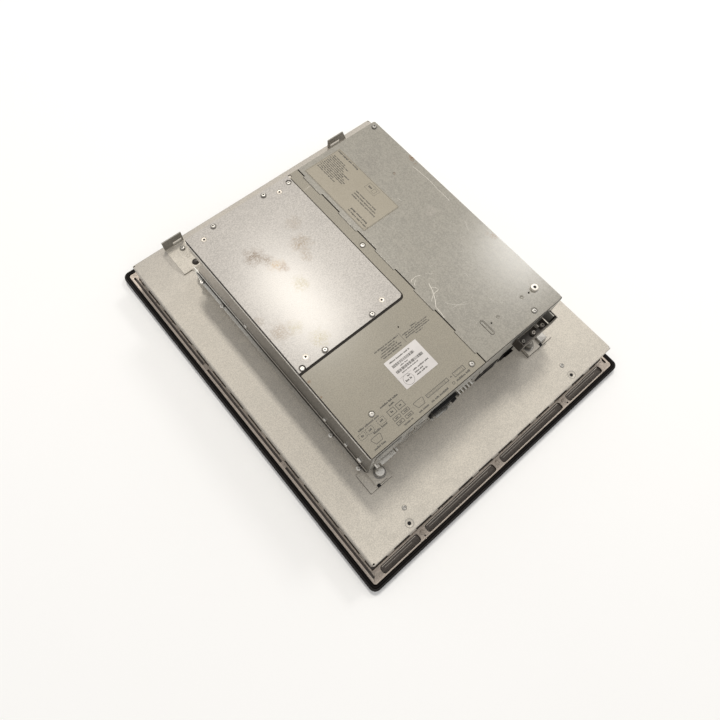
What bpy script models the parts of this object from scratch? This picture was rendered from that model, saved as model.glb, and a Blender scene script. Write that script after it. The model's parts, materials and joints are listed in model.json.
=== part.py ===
"""Industrial touch panel computer with a swing-out computer unit, lying face down.

The front face is on Z = 0 and the rear points up (+Z).  X runs along the shorter side of the
front, Y along the longer side: the hinges are at +Y, the locks and the sockets at -Y.
Lengths are written in millimetres; the shape helpers turn them into Blender's metres.
"""
import math

import bmesh
import bpy
from mathutils import Matrix, Vector

MM = 0.001
GAP = 0.3            # clearance between pieces that touch

# Front
FRONT_X = 400.0      # overall front, short side
FRONT_Y = 483.0      # overall front, long side
FRONT_R = 8.0
RIM_W = 5.6          # dark rim seen from behind
RIM_Z = 6.5
FACE_T = 3.0
GLASS_X = 307.4
GLASS_Y = 383.4
FRAME_Z = 8.0        # rear face of the cast frame
FRAME_OPEN_X = 330.0
FRAME_OPEN_Y = 406.0

# Display rear cover
COVER_X = 370.8
COVER_Y = 438.0
PLATE_Z = 44.4
SHEET = 1.2
FOOT_Z = (PLATE_Z + GAP, PLATE_Z + GAP + 1.5)    # bracket feet on the cover

# Computer unit
BOX_X0 = -131.5
BOX_X1 = 132.5
BOX_Y0 = -145.5
BOX_Y1 = 154.5
BOX_FLOOR_Z = 49.8
LID_Z = 123.9
LID_T = 1.2
TOP_Z = LID_Z + LID_T
CARRIER_Z = 48.0
CARRIER_T = 1.5

# Hinge axis, along X
HINGE_Y = 195.5
HINGE_Z = 54.0
PIN_R = 2.5
KNUCKLE_R = 5.0
LEFT_ARM = (-113.8, -100.2)
RIGHT_ARM = (93.8, 105.2)

# Locks
LOCK_LEFT = (-120.5, -153.0)
LOCK_RIGHT = (106.5, -154.0)
LOCK_WASHER_R = 7.0

# Seam between the printed cover and the expansion cover
DRIVE_X1 = 3.4
DRIVE_Y0 = -38.5
SEAM_X = 15.4
SEAM_STEP = 1.6
SEAM_PITCH = 30.4
SEAM_FIRST = 141.6
SEAM_GAP = 0.7

# Screws of the lids
SINK = 0.8           # depth of the recess round a sunk screw head
DRIVE_SCREWS = ((-98.9, 149.2), (-33.6, 148.6), (-35.6, -35.2), (-96.7, -35.2))
RECESSED_SCREWS = ((-1.2, 146.0), (-125.6, -36.0))
SYSTEM_SCREWS = ((-103.9, -113.1), (5.4, -137.5), (10.1, 33.1))
EXPANSION_SCREWS = ((97.3, -137.0), (126.0, 147.5))
COUNTERSUNK = ((-115.6, 142.0), (-17.0, 142.0), (-17.0, -28.5), (-115.6, -28.5))
BUSH = (116.2, -118.8)
COLLAR_X = (43.4, 47.6)
COLLAR_Y = (-128.8, -109.8)

# Cut-outs of the tray at the hinge end of both side walls
RELIEF_DEPTH = 9.0
RELIEF_FRONT = (131.0, 104.0)
RELIEF_LOW_Z = 60.0

# Mainboard and the rear interface
BOARD_Z = 66.0
BOARD_T = 1.6
PANEL_Y0 = BOX_Y0
PANEL_Y1 = BOX_Y0 + SHEET

FAN_CENTRE = (-76.0, 8.0)
FAN_Z0 = 92.5
SWITCH_CENTRE = (70.0, BOX_Y0 - 0.5, 66.0)
SWITCH_TILT = 7.0
BUTTON_CENTRE = (-23.6, BOX_Y0, 97.0)


# ---------------------------------------------------------------- materials

def material(name, colour, roughness, metallic):
    """Return the named Principled material, making it the first time."""
    found = bpy.data.materials.get(name)
    if found:
        return found
    made = bpy.data.materials.new(name)
    made.use_nodes = True
    shader = made.node_tree.nodes["Principled BSDF"]
    shader.inputs["Base Color"].default_value = (*colour, 1.0)
    shader.inputs["Roughness"].default_value = roughness
    shader.inputs["Metallic"].default_value = metallic
    made.diffuse_color = (*colour, 1.0)
    return made


def galvanised():
    return material("galvanised_sheet", (0.62, 0.60, 0.55), 0.42, 0.85)


def bright_sheet():
    return material("bright_sheet", (0.74, 0.72, 0.68), 0.36, 0.9)


def printed_sheet():
    return material("printed_sheet", (0.48, 0.46, 0.39), 0.5, 0.7)


def cast_metal():
    return material("cast_metal", (0.50, 0.45, 0.40), 0.38, 0.85)


def zinc_steel():
    return material("zinc_steel", (0.66, 0.64, 0.60), 0.3, 0.95)


def dark_steel():
    return material("dark_steel", (0.16, 0.14, 0.13), 0.5, 0.7)


def dark_plastic():
    return material("dark_plastic", (0.035, 0.035, 0.037), 0.5, 0.0)


def black_rubber():
    return material("black_rubber", (0.02, 0.02, 0.02), 0.75, 0.0)


def screen_glass():
    return material("screen_glass", (0.01, 0.012, 0.015), 0.08, 0.0)


def circuit_board():
    return material("circuit_board", (0.03, 0.16, 0.08), 0.45, 0.0)


def connector_shell():
    return material("connector_shell", (0.72, 0.70, 0.66), 0.25, 1.0)


def paper_label():
    return material("paper_label", (0.82, 0.80, 0.80), 0.6, 0.0)


def foil_label():
    return material("foil_label", (0.52, 0.49, 0.42), 0.5, 0.2)


def aluminium():
    return material("aluminium", (0.70, 0.70, 0.70), 0.35, 1.0)


# ---------------------------------------------------------------- shape helpers

def clear_scene():
    for old in list(bpy.data.objects):
        bpy.data.objects.remove(old, do_unlink=True)


def solid(name, bm, mat, origin=(0.0, 0.0, 0.0)):
    """Turn a millimetre bmesh into an object whose origin is at the given point."""
    bmesh.ops.translate(bm, vec=-Vector(origin), verts=bm.verts)
    bmesh.ops.scale(bm, vec=(MM, MM, MM), verts=bm.verts)
    bmesh.ops.recalc_face_normals(bm, faces=bm.faces)
    mesh = bpy.data.meshes.new(name)
    bm.to_mesh(mesh)
    bm.free()
    mesh.shade_smooth()
    mesh.set_sharp_from_angle(angle=math.radians(30.0))
    made = bpy.data.objects.new(name, mesh)
    made.location = Vector(origin) * MM
    if mat:
        made.data.materials.append(mat)
    bpy.context.scene.collection.objects.link(made)
    return made


def add_loft(bm, rings):
    """Closed body through rings of equally many points, with both ends capped."""
    loops = [[bm.verts.new(point) for point in ring] for ring in rings]
    count = len(loops[0])
    for low, high in zip(loops, loops[1:]):
        for i in range(count):
            j = (i + 1) % count
            bm.faces.new((low[i], low[j], high[j], high[i]))
    bm.faces.new(list(reversed(loops[0])))
    bm.faces.new(loops[-1])


def add_ring(bm, sections):
    """Closed band: the sections run once round its cross-section."""
    loops = [[bm.verts.new(point) for point in ring] for ring in sections]
    count = len(loops[0])
    for k, low in enumerate(loops):
        high = loops[(k + 1) % len(loops)]
        for i in range(count):
            j = (i + 1) % count
            bm.faces.new((low[i], low[j], high[j], high[i]))


def add_box(bm, x, y, z):
    """Box between the low and high values of x, y and z."""
    size = Vector((x[1] - x[0], y[1] - y[0], z[1] - z[0]))
    centre = Vector((x[0] + x[1], y[0] + y[1], z[0] + z[1])) / 2.0
    place = Matrix.Translation(centre) @ Matrix.Diagonal((*size, 1.0))
    bmesh.ops.create_cube(bm, size=1.0, matrix=place)


def add_prism(bm, outline, z0, z1):
    add_loft(bm, [[(x, y, z) for x, y in outline] for z in (z0, z1)])


def axis_turn(axis):
    """Rotation that takes +Z to the named axis."""
    turns = {"x": Matrix.Rotation(math.radians(90.0), 4, "Y"),
             "-x": Matrix.Rotation(math.radians(-90.0), 4, "Y"),
             "y": Matrix.Rotation(math.radians(-90.0), 4, "X"),
             "-y": Matrix.Rotation(math.radians(90.0), 4, "X"),
             "z": Matrix.Identity(4)}
    return turns[axis]


def add_turned(bm, profile, centre, axis="z", steps=16):
    """Turned body: profile is (radius, height) pairs from one end of the axis to the other."""
    place = Matrix.Translation(centre) @ axis_turn(axis)
    rings = []
    for radius, height in profile:
        angles = [2.0 * math.pi * i / steps for i in range(steps)]
        rings.append([place @ Vector((radius * math.cos(a), radius * math.sin(a), height))
                      for a in angles])
    add_loft(bm, rings)


def add_cylinder(bm, centre, radius, length, axis="z", steps=16):
    add_turned(bm, [(radius, 0.0), (radius, length)], centre, axis, steps)


def rounded(x0, x1, y0, y1, radius, steps=4):
    """Rounded rectangle, anticlockwise from the +X +Y corner."""
    corners = [(x1 - radius, y1 - radius, 0.0), (x0 + radius, y1 - radius, 90.0),
               (x0 + radius, y0 + radius, 180.0), (x1 - radius, y0 + radius, 270.0)]
    points = []
    for cx, cy, start in corners:
        for i in range(steps + 1):
            a = math.radians(start + 90.0 * i / steps)
            points.append((cx + radius * math.cos(a), cy + radius * math.sin(a)))
    return points


def centred(width_x, width_y, radius, inset=0.0, steps=4):
    half_x = width_x / 2.0 - inset
    half_y = width_y / 2.0 - inset
    return rounded(-half_x, half_x, -half_y, half_y, max(radius - inset, 0.3), steps)


def at(outline, z):
    return [(x, y, z) for x, y in outline]


def guide(name, bm):
    """Helper body for a Boolean, left out of the model."""
    made = solid(name, bm, None)
    made.hide_render = True
    made.display_type = "WIRE"
    return made


def boolean(target, bm, operation, overlapping=False):
    tool = guide(f"{target.name}_{operation.lower()}_{len(target.modifiers)}", bm)
    step = target.modifiers.new(operation.title(), "BOOLEAN")
    step.operation = operation
    step.solver = "EXACT"
    step.use_self = overlapping
    step.object = tool
    return target


def cut(target, bm, overlapping=False):
    return boolean(target, bm, "DIFFERENCE", overlapping)


def join(target, bm, overlapping=False):
    return boolean(target, bm, "UNION", overlapping)


# ---------------------------------------------------------------- fasteners

def pan_head(bm, point, radius=2.9, height=2.0, axis="z", shank=0.6, steps=10):
    """Pan-head screw; point is where the head sits, the shank goes below it."""
    profile = [(radius * 0.5, -shank), (radius, -0.06), (radius, height * 0.55), (radius * 0.8, height)]
    add_turned(bm, profile, point, axis, steps)


def add_countersink(bm, point, radius, hole_r, z_top, depth, steps=16):
    """Cutter for a countersunk hole through a sheet whose outer face is at z_top."""
    slope = radius - hole_r
    profile = [(hole_r, -depth), (hole_r, -slope), (radius, 0.0), (radius, 0.5)]
    add_turned(bm, profile, (point[0], point[1], z_top), "z", steps)


def add_counterbore(bm, point):
    """Cutter for the flat-bottomed recess of a sunk screw in a lid of the computer unit."""
    add_cylinder(bm, (*point, TOP_Z - SINK), 3.2, SINK + 1.0)


def join_sunk_screws(cover, points):
    """Captive screws whose heads lie in the recesses of a lid."""
    screws = bmesh.new()
    for point in points:
        pan_head(screws, (*point, TOP_Z - SINK), 2.8, 1.0, shank=0.2)
    join(cover, screws)


# ---------------------------------------------------------------- display unit

def front_bezel():
    bm = bmesh.new()
    add_loft(bm, [at(centred(FRONT_X, FRONT_Y, FRONT_R, 1.2), 0.0),
                  at(centred(FRONT_X, FRONT_Y, FRONT_R), 1.2),
                  at(centred(FRONT_X, FRONT_Y, FRONT_R), RIM_Z - 0.4),
                  at(centred(FRONT_X, FRONT_Y, FRONT_R, 0.4), RIM_Z)])
    bezel = solid("front_bezel", bm, dark_plastic())
    hollow = bmesh.new()
    add_loft(hollow, [at(centred(FRONT_X, FRONT_Y, FRONT_R, RIM_W), z) for z in (FACE_T, RIM_Z + 1.0)])
    cut(bezel, hollow)
    window = bmesh.new()
    add_loft(window, [at(centred(GLASS_X + 2 * GAP, GLASS_Y + 2 * GAP, 3.0), z)
                      for z in (-1.0, FACE_T + 1.0)])
    cut(bezel, window)


def touch_glass():
    bm = bmesh.new()
    add_loft(bm, [at(centred(GLASS_X, GLASS_Y, 2.7, 0.3), 0.3), at(centred(GLASS_X, GLASS_Y, 2.7), 0.6),
                  at(centred(GLASS_X, GLASS_Y, 2.7), 2.9)])
    solid("touch_glass", bm, screen_glass())


def mounting_gasket():
    outer = (FRONT_X, FRONT_Y, FRONT_R)
    base = RIM_Z + GAP
    bm = bmesh.new()
    add_ring(bm, [at(centred(*outer, 1.0), base), at(centred(*outer, 4.6), base),
                  at(centred(*outer, 4.6), base + 0.9), at(centred(*outer, 3.6), base + 1.4),
                  at(centred(*outer, 2.8), base + 0.8), at(centred(*outer, 2.0), base + 1.4),
                  at(centred(*outer, 1.0), base + 0.9)])
    solid("mounting_gasket", bm, black_rubber())


def rib_spans(limit, rib_centres, rib_half):
    """Stretches between ribs, from -limit to limit."""
    edges = [-limit]
    for centre in rib_centres:
        edges += [centre - rib_half, centre + rib_half]
    edges.append(limit)
    return list(zip(edges[0::2], edges[1::2]))


def clip_places(half_length, pitch):
    count = int(half_length / pitch)
    return [pitch * i for i in range(-count, count + 1)]


def front_frame():
    metal = (FRONT_X - 2 * RIM_W - 2 * GAP, FRONT_Y - 2 * RIM_W - 2 * GAP, FRONT_R - RIM_W + 1.0)
    opening = (FRAME_OPEN_X, FRAME_OPEN_Y, 3.0)
    bottom = FACE_T + GAP
    bm = bmesh.new()
    add_ring(bm, [at(centred(*metal), bottom), at(centred(*opening), bottom),
                  at(centred(*opening), FRAME_Z), at(centred(*metal, 0.5), FRAME_Z),
                  at(centred(*metal), FRAME_Z - 0.5)])
    frame = solid("front_frame", bm, cast_metal())
    wall = bmesh.new()
    wall_outer = (COVER_X + 5.4, COVER_Y + 9.2, 2.5)
    add_ring(wall, [at(centred(*wall_outer), FRAME_Z - 1.0), at(centred(*wall_outer, 1.4), FRAME_Z - 1.0),
                    at(centred(*wall_outer, 1.4), FRAME_Z + 3.2), at(centred(*wall_outer), FRAME_Z + 3.2)])
    join(frame, wall)
    pockets = bmesh.new()
    for side in (-1.0, 1.0):
        for x0, x1 in rib_spans(179.0, (-120.0, -3.0, 111.5), 5.5):
            y_in, y_out = sorted((side * 224.6, side * 233.6))
            low = rounded(x0 + 1.2, x1 - 1.2, y_in + 1.2, y_out - 1.2, 1.5, 3)
            high = rounded(x0, x1, y_in, y_out, 2.7, 3)
            add_loft(pockets, [at(low, 4.6), at(high, 6.2), at(high, FRAME_Z + 0.5)])
        for y0, y1 in rib_spans(229.0, (-75.0, 75.0), 4.0):
            x_in, x_out = sorted((side * 188.5, side * 190.9))
            add_loft(pockets, [at(rounded(x_in, x_out, y0, y1, 1.0, 3), z) for z in (4.8, FRAME_Z + 0.5)])
    cut(frame, pockets)
    holes = bmesh.new()
    for side in (-1.0, 1.0):
        for x in (-119.8, 114.0):
            add_cylinder(holes, (x, side * 232.4, 5.0), 0.9, 4.0, steps=12)
    cut(frame, holes)


def display_rear_cover():
    size = (COVER_X, COVER_Y, 1.5)
    foot = FRAME_Z + GAP
    bm = bmesh.new()
    add_loft(bm, [at(centred(*size, 0.0, 3), foot), at(centred(*size, 0.0, 3), PLATE_Z - 0.9),
                  at(centred(*size, 0.3, 3), PLATE_Z - 0.3), at(centred(*size, 0.9, 3), PLATE_Z)])
    cover = solid("display_rear_cover", bm, galvanised())
    clips = bmesh.new()
    for side in (-1.0, 1.0):
        for x in clip_places(170.0, 32.0):
            y_in, y_out = sorted((side * (COVER_Y / 2 - 0.6), side * (COVER_Y / 2 + 2.6)))
            add_box(clips, (x - 5.5, x + 5.5), (y_in, y_out), (9.2, 10.6))
        for y in clip_places(206.0, 34.2):
            x_in, x_out = sorted((side * (COVER_X / 2 - 0.6), side * (COVER_X / 2 + 0.9)))
            add_box(clips, (x_in, x_out), (y - 5.5, y + 5.5), (9.2, 10.6))
    join(cover, clips)
    hollow = bmesh.new()
    inner = (COVER_X - 2 * SHEET, COVER_Y - 2 * SHEET, 1.0)
    add_loft(hollow, [at(centred(*inner, 0.0, 3), z) for z in (foot - 1.0, PLATE_Z - SHEET)])
    cut(cover, hollow)
    holes = bmesh.new()
    for x in (-130.1, 123.0):
        add_countersink(holes, (x, -211.0), 4.0, 2.0, PLATE_Z, 3.0)
    for x in (-183.2, 183.2):
        for y in (-216.8, 216.8):
            add_cylinder(holes, (x, y, PLATE_Z - 3.0), 0.9, 4.0, steps=12)
    cut(cover, holes)
    rivets = bmesh.new()
    for x in (-123.8, 122.5):
        add_turned(rivets, [(1.2, -0.5), (2.6, -0.1), (2.4, 0.5), (1.5, 0.9), (1.3, 0.35)],
                   (x, -196.2, PLATE_Z), steps=14)
    join(cover, rivets)


def lcd_panel():
    bm = bmesh.new()
    add_box(bm, (-162.0, 162.0), (-198.0, 198.0), (3.3, 17.1))
    panel = solid("lcd_panel", bm, aluminium())
    recess = bmesh.new()
    add_box(recess, (-152.0, 152.0), (-190.0, 190.0), (3.0, 4.4))
    for y in (-150.0, 150.0):
        add_box(recess, (-140.0, 140.0), (y - 30.0, y + 30.0), (16.1, 18.0))
    cut(panel, recess)


def display_chassis():
    bm = bmesh.new()
    add_box(bm, (-181.0, 181.0), (-214.5, 214.5), (17.4, 18.9))
    chassis = solid("display_chassis", bm, galvanised())
    legs = bmesh.new()
    for x in (-176.0, 176.0):
        for y in (-209.0, 0.0, 209.0):
            add_box(legs, (x - 4.0, x + 4.0), (y - 5.0, y + 5.0), (FRAME_Z + GAP, 18.0))
    join(chassis, legs)


def board_with_parts(name, mat, x, y, z0, blocks, feet=3.0):
    """Circuit board on four feet with rectangular components standing on it."""
    bm = bmesh.new()
    add_box(bm, x, y, (z0, z0 + BOARD_T))
    board = solid(name, bm, mat)
    parts = bmesh.new()
    for bx, by, bz in blocks:
        add_box(parts, bx, by, (z0 + BOARD_T - 0.4, z0 + BOARD_T + bz))
    for cx in (x[0] + 4.0, x[1] - 4.0):
        for cy in (y[0] + 4.0, y[1] - 4.0):
            add_cylinder(parts, (cx, cy, z0 - feet), 2.5, feet + 0.4, steps=12)
    join(board, parts)
    return board


def display_boards():
    transformers = [((122.0, 136.0), (y - 9.0, y + 9.0), 9.0) for y in (-60.0, -20.0, 20.0, 60.0)]
    board_with_parts("backlight_inverter", circuit_board(), (112.0, 146.0), (-90.0, 90.0), 22.5,
                     transformers, 3.3)
    chips = [((-132.0, -118.0), (-12.0, 2.0), 2.0), ((-142.0, -134.0), (8.0, 26.0), 5.0)]
    board_with_parts("touch_controller", circuit_board(), (-147.0, -105.0), (-30.0, 30.0), 22.5, chips, 3.3)


def hinge_bracket(name, foot_x, side_foot_x, tab, ears, slot, plug_x, screw_x):
    """L-shaped bracket on the display cover: foot, upright tab with a slot and two hinge ears.

    tab gives the low X, the high X at the foot and the high X at the top of the upright tab.
    """
    bm = bmesh.new()
    add_box(bm, foot_x, (170.5, 212.5), FOOT_Z)
    bracket = solid(name, bm, zinc_steel())
    side_foot = bmesh.new()
    add_box(side_foot, side_foot_x, (182.0, 204.0), FOOT_Z)
    join(bracket, side_foot)
    uprights = bmesh.new()
    z0 = FOOT_Z[1] - 0.5
    tab_outline = [(tab[0], z0), (tab[1], z0), (tab[2], 61.4), (tab[0], 61.4)]
    add_loft(uprights, [[(x, y, z) for x, z in tab_outline] for y in (212.5, 211.0)])
    low_y = HINGE_Y - 6.5
    high_y = HINGE_Y + 6.5
    for ear_x in ears:
        outline = [(low_y, z0), (high_y, z0), (high_y, 57.5), (high_y - 3.0, 60.5), (low_y + 2.5, 60.5),
                   (low_y, 58.0)]
        add_loft(uprights, [[(x, y, z) for y, z in outline] for x in ear_x])
    join(bracket, uprights)
    holes = bmesh.new()
    add_box(holes, slot, (210.0, 213.5), (48.4, 52.4))
    add_cylinder(holes, (ears[0][0] - 2.0, HINGE_Y, HINGE_Z), PIN_R + GAP,
                 ears[1][1] - ears[0][0] + 4.0, "x")
    add_cylinder(holes, (plug_x, 176.6, FOOT_Z[0] - 1.0), 4.3, 4.0)
    add_cylinder(holes, (screw_x, 201.5, FOOT_Z[0] - 1.0), 2.0, 4.0, steps=14)
    cut(bracket, holes)
    rivet = bmesh.new()
    add_turned(rivet, [(1.2, -0.5), (2.3, -0.1), (2.1, 0.5), (1.2, 0.8)], (screw_x - 0.8, 188.8, FOOT_Z[1]),
               steps=14)
    join(bracket, rivet)


def hinge_brackets():
    hinge_bracket("hinge_bracket_left", (-143.8, -117.0), (-118.0, -98.4), (-143.8, -117.6, -117.6),
                  ((-115.6, -114.1), (-99.9, -98.4)), (-131.5, -119.5), -124.0, -125.5)
    hinge_bracket("hinge_bracket_right", (108.0, 139.0), (92.0, 109.0), (108.0, 139.0, 133.0),
                  ((92.0, 93.5), (105.5, 107.0)), (112.0, 128.0), 124.0, 122.5)


def hinge_pins():
    """Headed pins that join the carrier arms to the bracket ears."""
    for side, x0, x1 in (("left", -116.4, -97.6), ("right", 91.2, 107.8)):
        length = x1 - x0
        bm = bmesh.new()
        add_turned(bm, [(3.5, -1.2), (3.8, -0.8), (3.8, 0.0), (PIN_R, 0.02), (PIN_R, length),
                        (3.8, length + 0.02), (3.8, length + 0.8), (3.5, length + 1.2)],
                   (x0, HINGE_Y, HINGE_Z), "x")
        solid(f"hinge_pin_{side}", bm, zinc_steel())


def bracket_screws():
    for side, x in (("left", -125.5), ("right", 122.5)):
        bm = bmesh.new()
        add_turned(bm, [(1.6, -1.8), (1.6, 0.0), (3.3, 0.02), (3.3, 1.3), (2.6, 2.2), (1.4, 2.2), (1.3, 1.0)],
                   (x, 201.5, FOOT_Z[1] + GAP))
        solid(f"bracket_screw_{side}", bm, zinc_steel())


def bracket_plugs():
    """Rubber plugs in the round holes of the bracket feet."""
    for side, x in (("left", -124.0), ("right", 124.0)):
        bm = bmesh.new()
        add_turned(bm, [(3.6, 0.0), (3.9, 0.4), (3.9, 1.6), (3.2, 2.6), (1.4, 2.6), (1.2, 1.2)],
                   (x, 176.6, FOOT_Z[0]), steps=16)
        solid(f"bracket_plug_{side}", bm, black_rubber())


def lock_base(name, x, centre):
    """Pad on the display cover with the raised boss that takes the lock screw."""
    bm = bmesh.new()
    add_box(bm, x, (-164.0, -140.0), (PLATE_Z + GAP, PLATE_Z + 2.1))
    pad = solid(name, bm, zinc_steel())
    boss = bmesh.new()
    add_cylinder(boss, (*centre, PLATE_Z + 1.0), 6.5, CARRIER_Z - GAP - PLATE_Z - 1.0)
    join(pad, boss)
    hole = bmesh.new()
    add_cylinder(hole, (*centre, PLATE_Z - 1.0), 2.9, 6.0)
    cut(pad, hole)


# ---------------------------------------------------------------- computer unit: structure

def swing_carrier():
    """Sheet under the computer unit with the hinge arms and the lock lugs."""
    level = (CARRIER_Z, CARRIER_Z + CARRIER_T)
    bm = bmesh.new()
    add_box(bm, (-130.0, 131.0), (-145.0, 152.0), level)
    carrier = solid("swing_carrier", bm, galvanised())
    for number, arm in enumerate((LEFT_ARM, RIGHT_ARM)):
        strip = bmesh.new()
        add_box(strip, arm, (148.0, HINGE_Y), level)
        join(carrier, strip)
        knuckle = bmesh.new()
        add_cylinder(knuckle, (arm[0], HINGE_Y, HINGE_Z), KNUCKLE_R, arm[1] - arm[0], "x", 24)
        join(carrier, knuckle)
    lugs = bmesh.new()
    for x in ((-131.8, -113.0), (99.0, 130.0)):
        add_box(lugs, x, (-164.0, -143.0), level)
    join(carrier, lugs)
    holes = bmesh.new()
    for x, y in (LOCK_LEFT, LOCK_RIGHT):
        add_cylinder(holes, (x, y, CARRIER_Z - 1.0), 2.9, 4.0)
    for arm in (LEFT_ARM, RIGHT_ARM):
        add_cylinder(holes, (arm[0] - 1.0, HINGE_Y, HINGE_Z), PIN_R + GAP, arm[1] - arm[0] + 2.0, "x", 24)
    for x in (-130.9, 118.2):
        add_box(holes, (x, x + 2.2), (-163.2, -161.0), (CARRIER_Z - 1.0, CARRIER_Z + 3.0))
        add_box(holes, (x + 3.0, x + 12.8), (-163.0, -162.2), (CARRIER_Z - 1.0, CARRIER_Z + 3.0))
    cut(carrier, holes)


def side_rail(name, side, wall_x):
    """Angle along the box side: upright web and a narrow outward flange with a tapered end."""
    inner = wall_x + side * GAP
    outer = inner + side * SHEET
    edge = wall_x + side * 5.0
    bm = bmesh.new()
    add_box(bm, sorted((inner, outer)), (-144.5, 160.0), (CARRIER_Z + CARRIER_T + GAP, 63.6))
    rail = solid(name, bm, bright_sheet())
    flange = bmesh.new()
    start = inner + side * 0.6
    outline = [(start, -144.5), (edge, -144.5), (edge, 144.0), (outer + side * 0.4, 160.0), (start, 160.0)]
    if side < 0.0:
        outline.reverse()
    add_prism(flange, outline, 55.2, 56.5)
    join(rail, flange)
    screws = bmesh.new()
    for y in (-136.6, -91.8, 102.5, 142.0):
        pan_head(screws, (wall_x + side * 4.2, y, 56.5), 2.5, 1.8)
    join(rail, screws)


def housing_tray():
    """Folded tray of the computer unit: floor, two side walls, hinge-side wall and top lips."""
    bm = bmesh.new()
    corner = rounded(BOX_X0, BOX_X1, BOX_Y0, BOX_Y1, 1.6, 3)
    add_prism(bm, corner, BOX_FLOOR_Z, LID_Z - GAP)
    tray = solid("housing_tray", bm, galvanised())
    hollow = bmesh.new()
    add_box(hollow, (BOX_X0 + SHEET, BOX_X1 - SHEET), (BOX_Y0 - 1.0, BOX_Y1 - SHEET),
            (BOX_FLOOR_Z + SHEET, LID_Z - GAP - SHEET))
    cut(tray, hollow)
    bays = bmesh.new()
    lip = 9.0
    depth = (LID_Z - 2.5, LID_Z + 1.0)
    add_box(bays, (24.0, BOX_X1 - lip), (-138.0, BOX_Y1 - lip), depth)
    add_box(bays, (BOX_X0 + lip, -4.5), (DRIVE_Y0 + 5.5, BOX_Y1 - lip), depth)
    add_box(bays, (BOX_X0 + lip, -4.5), (-138.0, DRIVE_Y0 - 8.5), depth)
    cut(tray, bays)
    vents = bmesh.new()
    for i in range(10):
        x = 34.0 + 9.0 * i
        add_box(vents, (x, x + 4.0), (BOX_Y1 - 3.0, BOX_Y1 + 1.0), (60.0, 100.0))
    cut(tray, vents)
    reliefs = bmesh.new()
    beyond = BOX_Y1 + 1.5
    outline = [RELIEF_FRONT, (beyond, RELIEF_LOW_Z), (beyond, RELIEF_FRONT[1])]
    for x in ((BOX_X0 - 1.0, BOX_X0 + RELIEF_DEPTH), (BOX_X1 - RELIEF_DEPTH, BOX_X1 + 1.0)):
        add_loft(reliefs, [[(px, y, z) for y, z in outline] for px in x])
    cut(tray, reliefs)
    screws = bmesh.new()
    for wall, axis in ((BOX_X0, "-x"), (BOX_X1, "x")):
        for y in (-111.3, -77.3, 60.0):
            pan_head(screws, (wall, y, 69.0), 2.1, 1.4, axis)
        pan_head(screws, (wall, -132.5, 73.0), 3.0, 2.0, axis)
    join(tray, screws)


def interface_panel():
    """Sheet that closes the socket side of the box, with an opening for each socket."""
    bm = bmesh.new()
    add_box(bm, (BOX_X0 + SHEET + GAP, BOX_X1 - SHEET - GAP), (PANEL_Y0, PANEL_Y1),
            (BOX_FLOOR_Z + SHEET + GAP, LID_Z - SHEET - 2 * GAP))
    panel = solid("interface_panel", bm, bright_sheet())
    openings = bmesh.new()
    through = (PANEL_Y0 - 1.0, PANEL_Y1 + 1.0)
    for x, z in socket_openings():
        add_box(openings, (x[0] - GAP, x[1] + GAP), through, (z[0] - GAP, z[1] + GAP))
    add_box(openings, (24.7, 127.3), through, (80.6, 117.6))
    cut(panel, openings)
    screws = bmesh.new()
    for x, z in ((-80.5, 108.0), (-68.0, 108.0), (8.5, 96.0), (20.0, 96.0), (20.0, 60.0), (-5.0, 76.0),
                 (84.0, 66.0), (123.0, 66.0)):
        pan_head(screws, (x, PANEL_Y0, z), 2.5, 1.8, "-y")
    join(panel, screws)


def seam_points(side_offset):
    """Points of the stepped seam, from the hinge side down to the socket side."""
    points = []
    y = BOX_Y1 - 0.2
    x = SEAM_X + SEAM_STEP
    points.append((x + side_offset, y))
    y = SEAM_FIRST
    while y > BOX_Y0 + 3.0:
        points.append((x + side_offset, y))
        x = SEAM_X if x > SEAM_X else SEAM_X + SEAM_STEP
        points.append((x + side_offset, y))
        y -= SEAM_PITCH
    points.append((x + side_offset, BOX_Y0 + 0.6))
    return points


def arc_points(cx, cy, radius, start, end, steps=5):
    return [(cx + radius * math.cos(math.radians(start + (end - start) * i / steps)),
             cy + radius * math.sin(math.radians(start + (end - start) * i / steps)))
            for i in range(steps + 1)]


def drive_cover():
    low_y = DRIVE_Y0
    bm = bmesh.new()
    outline = [(DRIVE_X1, BOX_Y1 - 0.2), (BOX_X0 + 0.3, BOX_Y1 - 0.2), (BOX_X0 + 0.3, low_y)]
    outline += arc_points(DRIVE_X1 - 5.0, low_y + 5.0, 5.0, -90.0, 0.0)
    add_loft(bm, [at(outline, LID_Z), at(outline, TOP_Z)])
    cover = solid("drive_cover", bm, bright_sheet())
    holes = bmesh.new()
    for point in COUNTERSUNK:
        add_countersink(holes, point, 3.0, 1.3, TOP_Z, 3.0)
    for point in RECESSED_SCREWS:
        add_cylinder(holes, (*point, LID_Z - 1.0), 3.3, 4.0)
    cut(cover, holes)
    screws = bmesh.new()
    for point in DRIVE_SCREWS:
        pan_head(screws, (*point, TOP_Z), 2.7, 1.9)
    join(cover, screws)


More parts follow.
